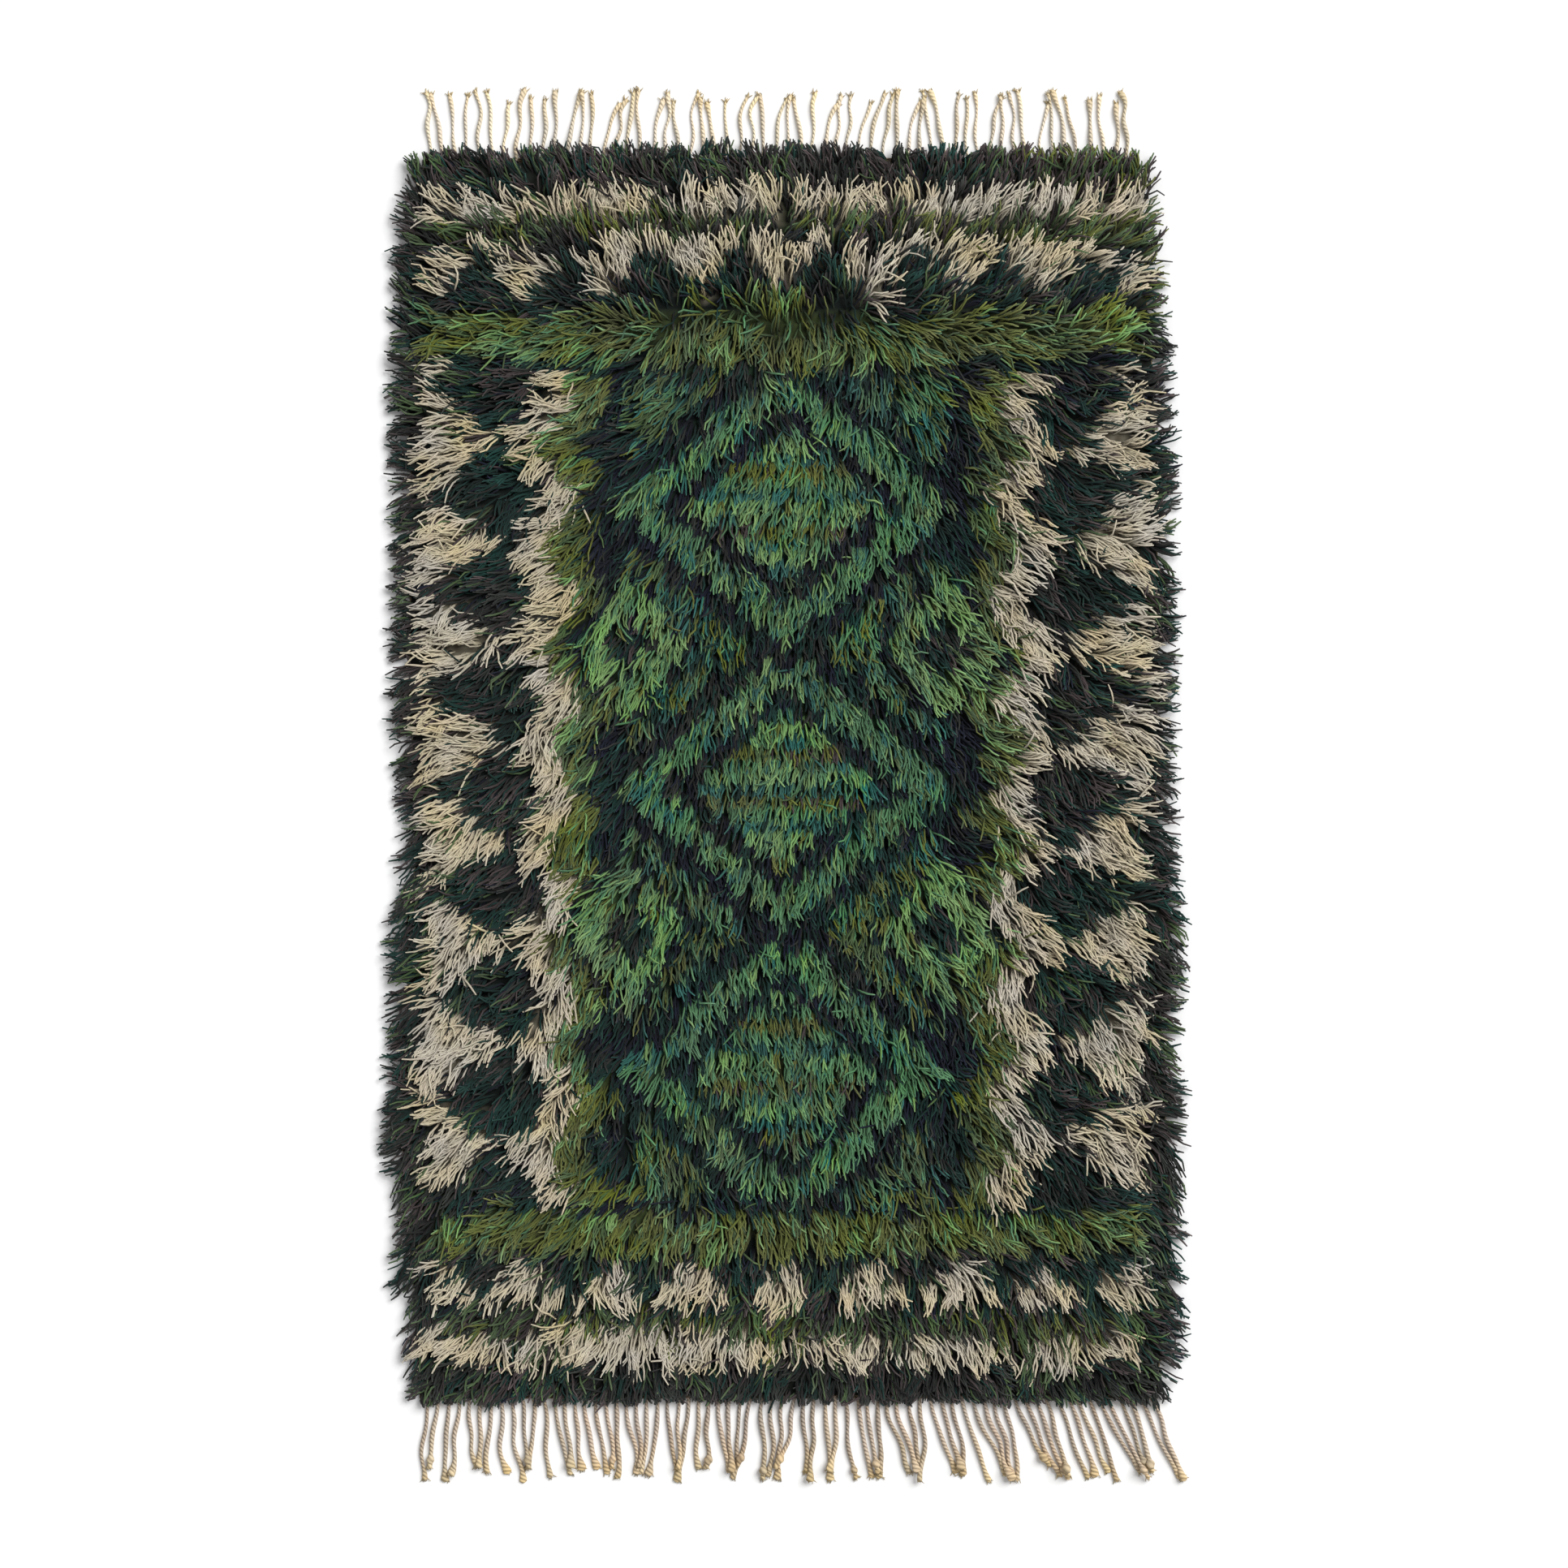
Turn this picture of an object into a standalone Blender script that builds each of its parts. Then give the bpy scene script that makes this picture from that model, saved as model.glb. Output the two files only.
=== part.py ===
"""A hand-knotted rya rug, lying flat: woven ground, long shaggy pile and a plied fringe at both ends.

Metres, +Z up. The rug lies on z = 0, centred, with its length along Y.
"""
import math

import bmesh
import bpy
import numpy as np
from mathutils import Vector, noise

# Driving sizes
LIE_GAP = 0.0003              # between pieces that lie on each other
CLOTH_THICK = 0.003
CLOTH_INSET = 0.022           # the pile stands past the cloth's edge by this much
CLOTH_BANDS = 26
STRIP_DEPTH = 0.012           # woven heading that holds the fringe
TOP_EDGE = 0.900              # where the fringe leaves the heading
BOTTOM_EDGE = -0.880
PILE_TOP = 0.913
PILE_TOP_BOW = 0.018          # the top edge falls back towards its corners
PILE_BOTTOM = -0.8745
PILE_RIM_INSET = 0.008        # the slab's wall lies this far inside the outline
PILE_RIM_HIGH = 0.013
PILE_CROWN_HIGH = 0.025
RIM_SLOPE = 0.035             # how quickly the pile rises inwards from its rim

# The pile's outline: a row for each place along the rug, with its two side edges.
OUTLINE_COLUMNS = ("along", "left", "right")
OUTLINE_ROWS = (
    (-0.885, -0.518, 0.538),
    (-0.868, -0.545, 0.558),
    (-0.760, -0.544, 0.570),
    (-0.690, -0.560, 0.571),
    (-0.626, -0.553, 0.571),
    (-0.485, -0.574, 0.570),
    (-0.345, -0.560, 0.564),
    (-0.205, -0.564, 0.574),
    (-0.065, -0.546, 0.556),
    (0.140, -0.560, 0.558),
    (0.420, -0.557, 0.558),
    (0.560, -0.562, 0.553),
    (0.700, -0.559, 0.543),
    (0.842, -0.548, 0.537),
    (0.900, -0.538, 0.526),
    (0.915, -0.511, 0.478),
)

# The pile's grid and its rim locks
CELLS_ACROSS = 34
CELLS_ALONG = 52
LOCK_GAP_SHARE = (0.04, 0.13)   # of a cell, left free at each side of a lock
GRID_INSET = 0.020
LUMP_SIZE = 0.052
LUMP_HIGH = 0.0090
TUFT_HIGH = 0.0042
LOCK_COLUMNS = ("reach", "width", "side_low", "side_high", "end_low", "end_high")
LOCK_ROWS = (
    (0.50, 0.80, 0.0022, 0.0095, 0.0047, 0.0112),
    (1.00, 0.30, 0.0006, 0.0036, 0.0054, 0.0082),
)
LOCK_LENGTH = (0.014, 0.028)
LOCK_LEAN = 0.50              # how far a lock follows the lie of the pile
LOCK_TURN = 0.12              # radians, drawn for each lock
RIM_UNEVEN = 0.0015
END_LOCKS_FROM = 0.84         # locks further along than this lie over the fringe
LIE_CENTRE = (0.005, 0.545)   # the pile lies away from this place
LIE_UP_SHARE = 2.2            # how much more steeply it lies towards the top edge
LIE_DOWN_SHARE = 0.6
HALF_ACROSS = 0.56
HALF_ALONG = 0.90
SEED = 7

# The fringe: sections along a cord, from the heading to the tip
CORD_WIDTH = 0.0056
CORD_HIGH = 0.0046
CORD_ROOT_RUN = 0.016         # a cord stays as low as the heading for this long, under the pile
CORD_RISE_RUN = 0.036
CORD_TOP_SHARE = 0.72         # width of a cord's top face against its base
SECTION_COLUMNS = ("share", "swell")
SECTION_ROWS = (
    (0.45, 0.92),
    (0.86, 1.10),
    (1.00, 0.78),
)
CORD_CLEAR = 0.0012           # free space kept between neighbours
CORD_RUN = 0.130              # the longest way that a cord's course is worked out for
CORD_LEVELS = 9
CORD_MARGIN = 0.004           # from the heading's ends to the first and last cord
ROOT_UNEVEN = 0.10            # of the pitch
GROUP_LARGEST = 4             # cords that are drawn together
GROUP_PULL = 0.62
SWAY_SIDE = 0.0040
SWAY_TURNS = 1.3
SWAY_EVERY = 5                # cords that sway as one
TANGENT_STEP = 0.004
FRINGE_COLUMNS = ("name", "edge", "way", "cords", "shortest", "longest", "seed")
FRINGE_ROWS = (
    ("fringe_top", TOP_EDGE, 1.0, 58, 0.083, 0.104, 21),
    ("fringe_bottom", BOTTOM_EDGE, -1.0, 70, 0.100, 0.126, 45),
)
# How a fringe slants sideways, for each step along its length, from the left end to the right.
SLANT_COLUMNS = ("place", "top", "bottom")
SLANT_ROWS = (
    (0.00, -0.16, -0.10),
    (0.20, 0.10, 0.12),
    (0.45, 0.06, -0.08),
    (0.62, 0.12, 0.10),
    (0.75, -0.08, 0.30),
    (0.88, -0.12, 0.42),
    (1.00, 0.05, 0.45),
)


def clear_scene():
    for thing in list(bpy.data.objects):
        bpy.data.objects.remove(thing, do_unlink=True)


def eased(value, places, sizes):
    """Read a smooth curve through sizes that are given at rising places."""
    step = int(np.clip(np.searchsorted(places, value) - 1, 0, len(places) - 2))
    share = (value - places[step]) / (places[step + 1] - places[step])
    share = min(max(share, 0.0), 1.0)
    share = share * share * (3.0 - 2.0 * share)
    return sizes[step] + (sizes[step + 1] - sizes[step]) * share


def column(rows, names, name):
    return [row[names.index(name)] for row in rows]


def side_edges(along):
    """Left and right edge of the pile at a place along the rug."""
    places = column(OUTLINE_ROWS, OUTLINE_COLUMNS, "along")
    left = eased(along, places, column(OUTLINE_ROWS, OUTLINE_COLUMNS, "left"))
    right = eased(along, places, column(OUTLINE_ROWS, OUTLINE_COLUMNS, "right"))
    return left, right


def make_material(name, colour, roughness):
    material = bpy.data.materials.new(name)
    material.use_nodes = True
    shader = material.node_tree.nodes["Principled BSDF"]
    shader.inputs["Base Color"].default_value = (*colour, 1.0)
    shader.inputs["Roughness"].default_value = roughness
    shader.inputs["Metallic"].default_value = 0.0
    return material


def add_object(name, mesh_builder, material):
    """Turn a bmesh into a named object, with its faces pointing out."""
    bmesh.ops.recalc_face_normals(mesh_builder, faces=mesh_builder.faces)
    mesh = bpy.data.meshes.new(name)
    mesh_builder.to_mesh(mesh)
    mesh_builder.free()
    mesh.materials.append(material)
    made = bpy.data.objects.new(name, mesh)
    bpy.context.scene.collection.objects.link(made)
    return made


def ring_of(builder, places):
    return [builder.verts.new(place) for place in places]


def bridge(builder, first, second):
    """Join two rings of the same number of points with a band of faces."""
    count = len(first)
    for here in range(count):
        after = (here + 1) % count
        builder.faces.new((first[here], first[after], second[after], second[here]))


# The woven ground
def build_ground_cloth(material):
    builder = bmesh.new()
    low = BOTTOM_EDGE + STRIP_DEPTH + LIE_GAP
    high = TOP_EDGE - STRIP_DEPTH - LIE_GAP
    rings = []
    for band in range(CLOTH_BANDS + 1):
        along = low + (high - low) * band / CLOTH_BANDS
        left, right = side_edges(along)
        left += CLOTH_INSET
        right -= CLOTH_INSET
        rings.append(ring_of(builder, (
            (left, along, 0.0),
            (right, along, 0.0),
            (right, along, CLOTH_THICK),
            (left, along, CLOTH_THICK),
        )))
    for first, second in zip(rings, rings[1:]):
        bridge(builder, first, second)
    builder.faces.new(rings[0])
    builder.faces.new(rings[-1])
    return add_object("ground_cloth", builder, material)


# The pile: a lumpy slab whose rim wall carries the locks
def pile_place(across, along, inset):
    """A place on the pile's outline grid; across and along run from -1 to 1."""
    top = PILE_TOP - PILE_TOP_BOW * across * across - inset
    bottom = PILE_BOTTOM + inset
    y = bottom + (top - bottom) * 0.5 * (along + 1.0)
    left, right = side_edges(y)
    margin = PILE_RIM_INSET + inset
    middle = 0.5 * (left + right)
    half = 0.5 * (right - left) - margin
    return Vector((middle + half * across, y, 0.0))


def rim_share(step):
    """Grid coordinates of a step along the rim, counter-clockwise from the lower left corner."""
    across_end = CELLS_ACROSS
    right_end = across_end + CELLS_ALONG
    top_end = right_end + CELLS_ACROSS
    whole = top_end + CELLS_ALONG
    step = step % whole
    if step <= across_end:
        return -1.0 + 2.0 * step / CELLS_ACROSS, -1.0
    if step <= right_end:
        return 1.0, -1.0 + 2.0 * (step - across_end) / CELLS_ALONG
    if step <= top_end:
        return 1.0 - 2.0 * (step - right_end) / CELLS_ACROSS, 1.0
    return -1.0, 1.0 - 2.0 * (step - top_end) / CELLS_ALONG


def lie_of_pile(x, y):
    """The way that the pile leans at a place, as a unit step."""
    across = x - LIE_CENTRE[0]
    along = y - LIE_CENTRE[1]
    along *= LIE_UP_SHARE if along > 0.0 else LIE_DOWN_SHARE
    lean = Vector((across, along, 0.0))
    return lean.normalized() if lean.length > 0.01 else Vector((0.0, -1.0, 0.0))


def pile_height(place, across, along, draw):
    """Height of the pile's surface: it rises from the rim, with lumps and tufts."""
    to_side = (1.0 - abs(across)) * HALF_ACROSS
    to_end = (1.0 - abs(along)) * HALF_ALONG
    inward = min(to_side, to_end) + GRID_INSET
    rise = 1.0 - math.exp(-inward / RIM_SLOPE)
    level = PILE_RIM_HIGH + (PILE_CROWN_HIGH - PILE_RIM_HIGH) * rise
    lump = noise.noise(Vector((place.x / LUMP_SIZE, place.y / LUMP_SIZE, 0.0)))
    swell = noise.noise(Vector((place.x, place.y, 5.0 * LUMP_SIZE)) / (3.0 * LUMP_SIZE))
    tuft = draw.uniform(-TUFT_HIGH, TUFT_HIGH)
    return level + rise * (LUMP_HIGH * (lump + 0.5 * swell) + tuft)


def add_lock(builder, root, outward, length, at_end, draw):
    """Draw a tapered lock out of one face of the rim wall.

    The root is the wall face's four points: lower first and second, upper second and first.
    """
    low_name, high_name = ("end_low", "end_high") if at_end else ("side_low", "side_high")
    start = 0.5 * (root[0].co + root[1].co)
    width = (root[1].co - root[0].co).length
    lean = lie_of_pile(start.x, start.y)
    heading = (outward + LOCK_LEAN * lean).normalized()
    turn = draw.uniform(-LOCK_TURN, LOCK_TURN)
    heading = Vector((
        heading.x * math.cos(turn) - heading.y * math.sin(turn),
        heading.x * math.sin(turn) + heading.y * math.cos(turn),
        0.0,
    ))
    beside = Vector((-heading.y, heading.x, 0.0))
    before = root
    for row in LOCK_ROWS:
        sizes = dict(zip(LOCK_COLUMNS, row))
        middle = start + heading * length * sizes["reach"]
        half = beside * 0.5 * width * sizes["width"]
        low, high = sizes[low_name], sizes[high_name]
        ring = ring_of(builder, (
            Vector((middle.x - half.x, middle.y - half.y, low)),
            Vector((middle.x + half.x, middle.y + half.y, low)),
            Vector((middle.x + half.x, middle.y + half.y, high)),
            Vector((middle.x - half.x, middle.y - half.y, high)),
        ))
        bridge(builder, before, ring)
        before = ring
    builder.faces.new(before)


def build_pile(material):
    builder = bmesh.new()
    draw = np.random.default_rng(SEED)
    under = CLOTH_THICK + LIE_GAP
    steps = 2 * (CELLS_ACROSS + CELLS_ALONG)

    grid = []
    for row in range(CELLS_ALONG + 1):
        line = []
        for cell in range(CELLS_ACROSS + 1):
            across = -1.0 + 2.0 * cell / CELLS_ACROSS
            along = -1.0 + 2.0 * row / CELLS_ALONG
            place = pile_place(across, along, GRID_INSET)
            place.z = pile_height(place, across, along, draw)
            line.append(builder.verts.new(place))
        grid.append(line)
    for row in range(CELLS_ALONG):
        for cell in range(CELLS_ACROSS):
            builder.faces.new((
                grid[row][cell], grid[row][cell + 1], grid[row + 1][cell + 1], grid[row + 1][cell],
            ))

    inner = [grid[0][cell] for cell in range(CELLS_ACROSS)]
    inner += [grid[row][CELLS_ACROSS] for row in range(CELLS_ALONG)]
    inner += [grid[CELLS_ALONG][cell] for cell in range(CELLS_ACROSS, 0, -1)]
    inner += [grid[row][0] for row in range(CELLS_ALONG, 0, -1)]

    upper = []
    lower = []
    for step in range(steps):
        for share in (draw.uniform(*LOCK_GAP_SHARE), 1.0 - draw.uniform(*LOCK_GAP_SHARE)):
            place = pile_place(*rim_share(step + share), 0.0)
            high = PILE_RIM_HIGH + draw.uniform(-RIM_UNEVEN, RIM_UNEVEN)
            upper.append(builder.verts.new((place.x, place.y, high)))
            lower.append(builder.verts.new((place.x, place.y, under)))

    for step in range(steps):
        first, second = 2 * step, 2 * step + 1
        following = (second + 1) % (2 * steps)
        here, there = inner[step], inner[(step + 1) % steps]
        builder.faces.new((here, upper[first], upper[second], there))
        builder.faces.new((there, upper[second], upper[following]))
        builder.faces.new((lower[second], lower[following], upper[following], upper[second]))
        tangent = (lower[second].co - lower[first].co).normalized()
        outward = Vector((tangent.y, -tangent.x, 0.0))
        root = (lower[first], lower[second], upper[second], upper[first])
        length = draw.uniform(*LOCK_LENGTH)
        at_end = abs(lower[first].co.y) > END_LOCKS_FROM
        add_lock(builder, root, outward, length, at_end, draw)
    builder.faces.new(lower)
    return add_object("pile", builder, material)


# The fringe: plied cords that run out of a heading strip and lie on the floor
def cord_places(edge_left, edge_right, cords, slants, draw):
    """Sideways place of every cord at each level away from the heading.

    Neighbours are drawn together in small groups, and then moved apart where they would touch.
    """
    levels = np.linspace(0.0, 1.0, CORD_LEVELS)
    pitch = (edge_right - edge_left) / cords
    roots = edge_left + pitch * (np.arange(cords) + 0.5)
    roots += draw.uniform(-ROOT_UNEVEN, ROOT_UNEVEN, cords) * pitch
    group = np.zeros(cords, int)
    leader = 0
    while leader < cords:
        size = int(draw.integers(1, GROUP_LARGEST + 1))
        group[leader:leader + size] = leader
        leader += size
    pull = np.zeros(cords)
    for first in np.unique(group):
        members = np.nonzero(group == first)[0]
        pull[members] = roots[members].mean() - roots[members]
    knots = np.arange(0, cords + SWAY_EVERY, SWAY_EVERY)
    sway = np.interp(np.arange(cords), knots, draw.uniform(-1.0, 1.0, len(knots)))
    places = np.zeros((len(levels), cords))
    shares = (roots - edge_left) / (edge_right - edge_left)
    lean = np.array([eased(share, column(SLANT_ROWS, SLANT_COLUMNS, "place"), slants) for share in shares])
    apart = CORD_WIDTH * 1.12 + CORD_CLEAR
    for index, level in enumerate(levels):
        drawn = GROUP_PULL * pull * level ** 1.6
        wave = SWAY_SIDE * sway * math.sin(2.0 * math.pi * SWAY_TURNS * level)
        line = roots + lean * CORD_RUN * level + drawn + wave
        for _ in range(40):
            short = apart * np.hypot(1.0, 0.5 * (lean[1:] + lean[:-1])) - np.diff(line)
            push = 0.5 * np.clip(short, 0.0, None)
            line[:-1] -= push
            line[1:] += push
        places[index] = line
    places[0] = roots
    return levels * CORD_RUN, places


def build_fringe(row, material):
    sizes = dict(zip(FRINGE_COLUMNS, row))
    draw = np.random.default_rng(sizes["seed"])
    edge, way, cords = sizes["edge"], sizes["way"], sizes["cords"]
    left, right = side_edges(edge - way * STRIP_DEPTH)
    left += CLOTH_INSET
    right -= CLOTH_INSET
    slants = column(SLANT_ROWS, SLANT_COLUMNS, "top" if way > 0 else "bottom")
    reach, places = cord_places(left + CORD_MARGIN, right - CORD_MARGIN, cords, slants, draw)
    lengths = draw.uniform(sizes["shortest"], sizes["longest"], cords)

    builder = bmesh.new()
    half = 0.5 * CORD_WIDTH
    stations = [left]
    for root in places[0]:
        stations += [root - half, root + half]
    stations.append(right)
    rings = []
    for x in stations:
        rings.append(ring_of(builder, (
            (x, edge, 0.0),
            (x, edge, CLOTH_THICK),
            (x, edge - way * STRIP_DEPTH, CLOTH_THICK),
            (x, edge - way * STRIP_DEPTH, 0.0),
        )))
    builder.faces.new(rings[0])
    builder.faces.new(rings[-1])
    for index, (first, second) in enumerate(zip(rings, rings[1:])):
        holds_cord = index % 2 == 1
        for side in range(4):
            if side == 0 and holds_cord:
                continue
            after = (side + 1) % 4
            builder.faces.new((first[side], first[after], second[after], second[side]))

    for cord in range(cords):
        first, second = rings[2 * cord + 1], rings[2 * cord + 2]
        before = (first[0], second[0], second[1], first[1])
        length = lengths[cord]
        sections = [(CORD_ROOT_RUN, 0.94, CLOTH_THICK), (CORD_RISE_RUN, 1.0, CORD_HIGH)]
        for section_row in SECTION_ROWS:
            section = dict(zip(SECTION_COLUMNS, section_row))
            away = CORD_RISE_RUN + (length - CORD_RISE_RUN) * section["share"]
            sections.append((away, section["swell"], CORD_HIGH))
        for away, swell, high in sections:
            x = float(np.interp(away, reach, places[:, cord]))
            ahead = float(np.interp(away + TANGENT_STEP, reach, places[:, cord]))
            behind = float(np.interp(away - TANGENT_STEP, reach, places[:, cord]))
            along = Vector((ahead - behind, way * 2.0 * TANGENT_STEP, 0.0)).normalized()
            beside = Vector((along.y, -along.x, 0.0)) * half * swell * way
            middle = Vector((x, edge + way * away, 0.0))
            lid = beside * CORD_TOP_SHARE
            up = Vector((0.0, 0.0, high))
            ring = ring_of(builder, (middle - beside, middle + beside, middle + lid + up, middle - lid + up))
            bridge(builder, before, ring)
            before = ring
        builder.faces.new(before)
    return add_object(sizes["name"], builder, material)


def main():
    clear_scene()
    ground = make_material("ground wool and linen", (0.42, 0.34, 0.24), 0.90)
    pile = make_material("dyed pile yarn", (0.035, 0.060, 0.050), 0.85)
    cord = make_material("undyed warp cord", (0.58, 0.48, 0.34), 0.88)
    build_ground_cloth(ground)
    build_pile(pile)
    for row in FRINGE_ROWS:
        build_fringe(row, cord)


main()
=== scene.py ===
import math

import bpy
import numpy as np
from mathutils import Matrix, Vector


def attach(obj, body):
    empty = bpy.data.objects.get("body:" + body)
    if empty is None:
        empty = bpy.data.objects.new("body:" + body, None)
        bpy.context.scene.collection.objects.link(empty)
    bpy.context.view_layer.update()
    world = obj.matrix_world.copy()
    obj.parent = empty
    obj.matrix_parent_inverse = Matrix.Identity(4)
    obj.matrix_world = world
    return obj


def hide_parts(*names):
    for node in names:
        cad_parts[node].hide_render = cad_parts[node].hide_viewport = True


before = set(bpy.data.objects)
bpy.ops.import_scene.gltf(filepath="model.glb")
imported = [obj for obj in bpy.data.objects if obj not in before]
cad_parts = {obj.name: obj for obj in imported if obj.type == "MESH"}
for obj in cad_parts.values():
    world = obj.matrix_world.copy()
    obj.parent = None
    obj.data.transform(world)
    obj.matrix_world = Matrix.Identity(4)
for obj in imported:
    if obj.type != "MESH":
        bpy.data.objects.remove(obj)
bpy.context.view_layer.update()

# Sizes shared with the solids, in metres
CLOTH_THICK = 0.003
CLOTH_INSET = 0.022           # the pile stands past the cloth's edge by this much
STRIP_DEPTH = 0.012
TOP_EDGE = 0.900
BOTTOM_EDGE = -0.880
PILE_TOP = 0.921
PILE_TOP_BOW = 0.018
PILE_BOTTOM = -0.8825

# The pile's outline: a row for each place along the rug, with its left and right edges
OUTLINE_ROWS = (
    (-0.885, -0.518, 0.538),
    (-0.868, -0.545, 0.558),
    (-0.760, -0.544, 0.570),
    (-0.690, -0.560, 0.571),
    (-0.626, -0.553, 0.571),
    (-0.485, -0.574, 0.570),
    (-0.345, -0.560, 0.564),
    (-0.205, -0.564, 0.574),
    (-0.065, -0.546, 0.556),
    (0.140, -0.560, 0.558),
    (0.420, -0.557, 0.558),
    (0.560, -0.562, 0.553),
    (0.700, -0.559, 0.543),
    (0.842, -0.548, 0.537),
    (0.900, -0.538, 0.526),
    (0.915, -0.511, 0.478),
)

# Knots: rows run across the rug, and every knot holds a few yarn ends
ROW_PITCH = 0.0176
KNOT_PITCH = 0.0092
ENDS_IN_KNOT = 4.65
FIRST_ROW = -0.8680
LAST_ROW = 0.8940
ROOT_HIGH = 0.0034
YARN_HALF = 0.00145           # half a yarn's width
YARN_LENGTH = (0.048, 0.068)
MIDDLE_SHORTER = 0.30         # in the middle field the ends are cut shorter by this share
PILE_HIGH = 0.0185
PILE_EDGE_LOW = 0.0036
RIM_FALL = 0.028
END_TRIM = 0.006              # how far the trimmed ends pass the pile's lower edge
TOP_OVER = 0.003              # and its upper edge, where they are less even
SIDE_OVER = 0.011             # and its two sides

# Tufts: neighbouring yarn ends that felt together and lean as one
TUFT_SIZE = 0.025
TUFT_TURN = math.radians(15.0)
TUFT_BEND = math.radians(30.0)
TUFT_LIFT = 0.0048
TUFT_PULL = (0.40, 1.00)
STRAY_SHARE = 0.05

# How the pile lies: degrees above the outward level, beside the middle line and at the side edge.
# The columns are the place along the rug, inner and outer.
LIE_ROWS = (
    (-0.880, -88.0, -46.0),
    (-0.750, -87.0, -44.0),
    (-0.450, -85.0, -36.0),
    (-0.130, -83.0, -24.0),
    (0.200, -80.0, -10.0),
    (0.450, -77.0, 2.0),
    (0.600, -72.0, 14.0),
    (0.652, -55.0, 20.0),
    (0.688, 52.0, 28.0),
    (0.770, 72.0, 40.0),
    (0.920, 86.0, 64.0),
)

# Yarn shades: the dye as sRGB, how much its lightness varies, how much painted shade darkens it towards its
# root, how patchily it has faded, how far its ends stand up, in metres, and the rings of each end
YARN_COLUMNS = ("name", "dye", "vary", "painted_root_shade", "fading", "stand", "rings")
EVERY_RING = (0, 1, 2, 3, 4)
FEWER_RINGS = (0, 1, 3, 4)
YARN_ROWS = (
    ("cream", (232, 221, 193), 0.20, 0.62, 2.2, 0.0014, EVERY_RING),
    ("charcoal", (46, 50, 47), 0.65, 0.90, 0.6, -0.0010, EVERY_RING),
    ("aubergine", (76, 66, 67), 0.60, 0.90, 0.6, -0.0006, EVERY_RING),
    ("bottle", (18, 54, 48), 0.65, 0.90, 0.6, -0.0018, EVERY_RING),
    ("navy", (15, 21, 40), 0.60, 0.90, 0.6, -0.0044, FEWER_RINGS),
    ("olive", (114, 124, 60), 0.42, 0.88, 0.9, 0.0004, EVERY_RING),
    ("moss", (87, 111, 72), 0.42, 0.88, 0.9, 0.0002, EVERY_RING),
    ("leaf", (98, 151, 106), 0.42, 0.88, 0.7, 0.0018, EVERY_RING),
    ("bright", (141, 186, 115), 0.36, 0.86, 0.7, 0.0028, EVERY_RING),
    ("teal", (60, 121, 112), 0.42, 0.88, 0.7, 0.0006, FEWER_RINGS),
)
YARN_NAMES = [row[0] for row in YARN_ROWS]

# Mixes of shades that a zone of the pattern is knotted from
ZONE_MIXES = {
    "edge": {"charcoal": 0.42, "bottle": 0.26, "aubergine": 0.18, "moss": 0.11, "navy": 0.03},
    "cream": {"cream": 0.905, "charcoal": 0.035, "moss": 0.020, "aubergine": 0.020, "bottle": 0.020},
    "dark": {"bottle": 0.54, "charcoal": 0.22, "navy": 0.10, "moss": 0.05, "aubergine": 0.09},
    "heather": {"aubergine": 0.34, "moss": 0.34, "charcoal": 0.18, "olive": 0.14},
    "night": {"navy": 0.48, "bottle": 0.38, "charcoal": 0.14},
    "olive": {"olive": 0.56, "moss": 0.30, "leaf": 0.06, "bright": 0.08},
    "meadow": {"moss": 0.30, "leaf": 0.17, "teal": 0.17, "olive": 0.13, "bottle": 0.17, "navy": 0.06},
    "moss": {"moss": 0.42, "charcoal": 0.30, "olive": 0.14, "aubergine": 0.14},
    "leaf": {"leaf": 0.56, "moss": 0.13, "bright": 0.12, "teal": 0.19},
    "bright": {"bright": 0.54, "leaf": 0.36, "olive": 0.10},
    "teal": {"teal": 0.58, "leaf": 0.26, "bottle": 0.16},
    "bronze": {"olive": 0.56, "moss": 0.18, "aubergine": 0.18, "leaf": 0.08},
}
ZONE_NAMES = list(ZONE_MIXES)
PATCH_SIZE = 0.12             # a mix leans to one shade or another in patches of this size
PATCH_LEAN = 1.1
KNOT_ALIKE = 0.55             # this share of the ends have the same shade as their knot
TIP_WEAR_AND_HIGHLIGHT_DYE = 232                # the pale colour that tips turn towards, partly wear and partly painted highlight
TIP_WEAR_AND_HIGHLIGHT_SHARE = 0.16
PILE_TURNS = 120.0            # grooves of the twist in a metre
CORD_TURNS = 165.0
RIDGE_TOP = 0.35              # where a yarn's ridge is highest, on its own map

# The heart of each lozenge is knotted in rows of these shades
HEART_ROWS = ("leaf", "bright", "teal", "leaf", "bronze", "teal", "bright", "leaf", "bronze")


def column(rows, names, name):
    return [row[names.index(name)] for row in rows]


def eased(value, places, sizes):
    """Read a smooth curve through sizes that are given at rising places."""
    places, sizes = np.asarray(places, float), np.asarray(sizes, float)
    step = np.clip(np.searchsorted(places, value) - 1, 0, len(places) - 2)
    share = np.clip((value - places[step]) / (places[step + 1] - places[step]), 0.0, 1.0)
    share = share * share * (3.0 - 2.0 * share)
    return sizes[step] + (sizes[step + 1] - sizes[step]) * share


def side_edges(along):
    places, left, right = zip(*OUTLINE_ROWS)
    return eased(along, places, left), eased(along, places, right)


def top_of_pile(x, y):
    """The bowed line that the pile's upper end follows."""
    left, right = side_edges(y)
    across = np.clip(2.0 * (x - left) / (right - left) - 1.0, -1.0, 1.0)
    return PILE_TOP - PILE_TOP_BOW * across ** 2


def inside_edge(x, y):
    """Distance from the pile's outline, above zero inside it, and the same to the two ends alone."""
    left, right = side_edges(y)
    to_side = np.minimum(x - left, right - x)
    to_end = np.minimum(top_of_pile(x, y) - y, y - PILE_BOTTOM)
    return np.minimum(to_side, to_end), to_end


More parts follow.
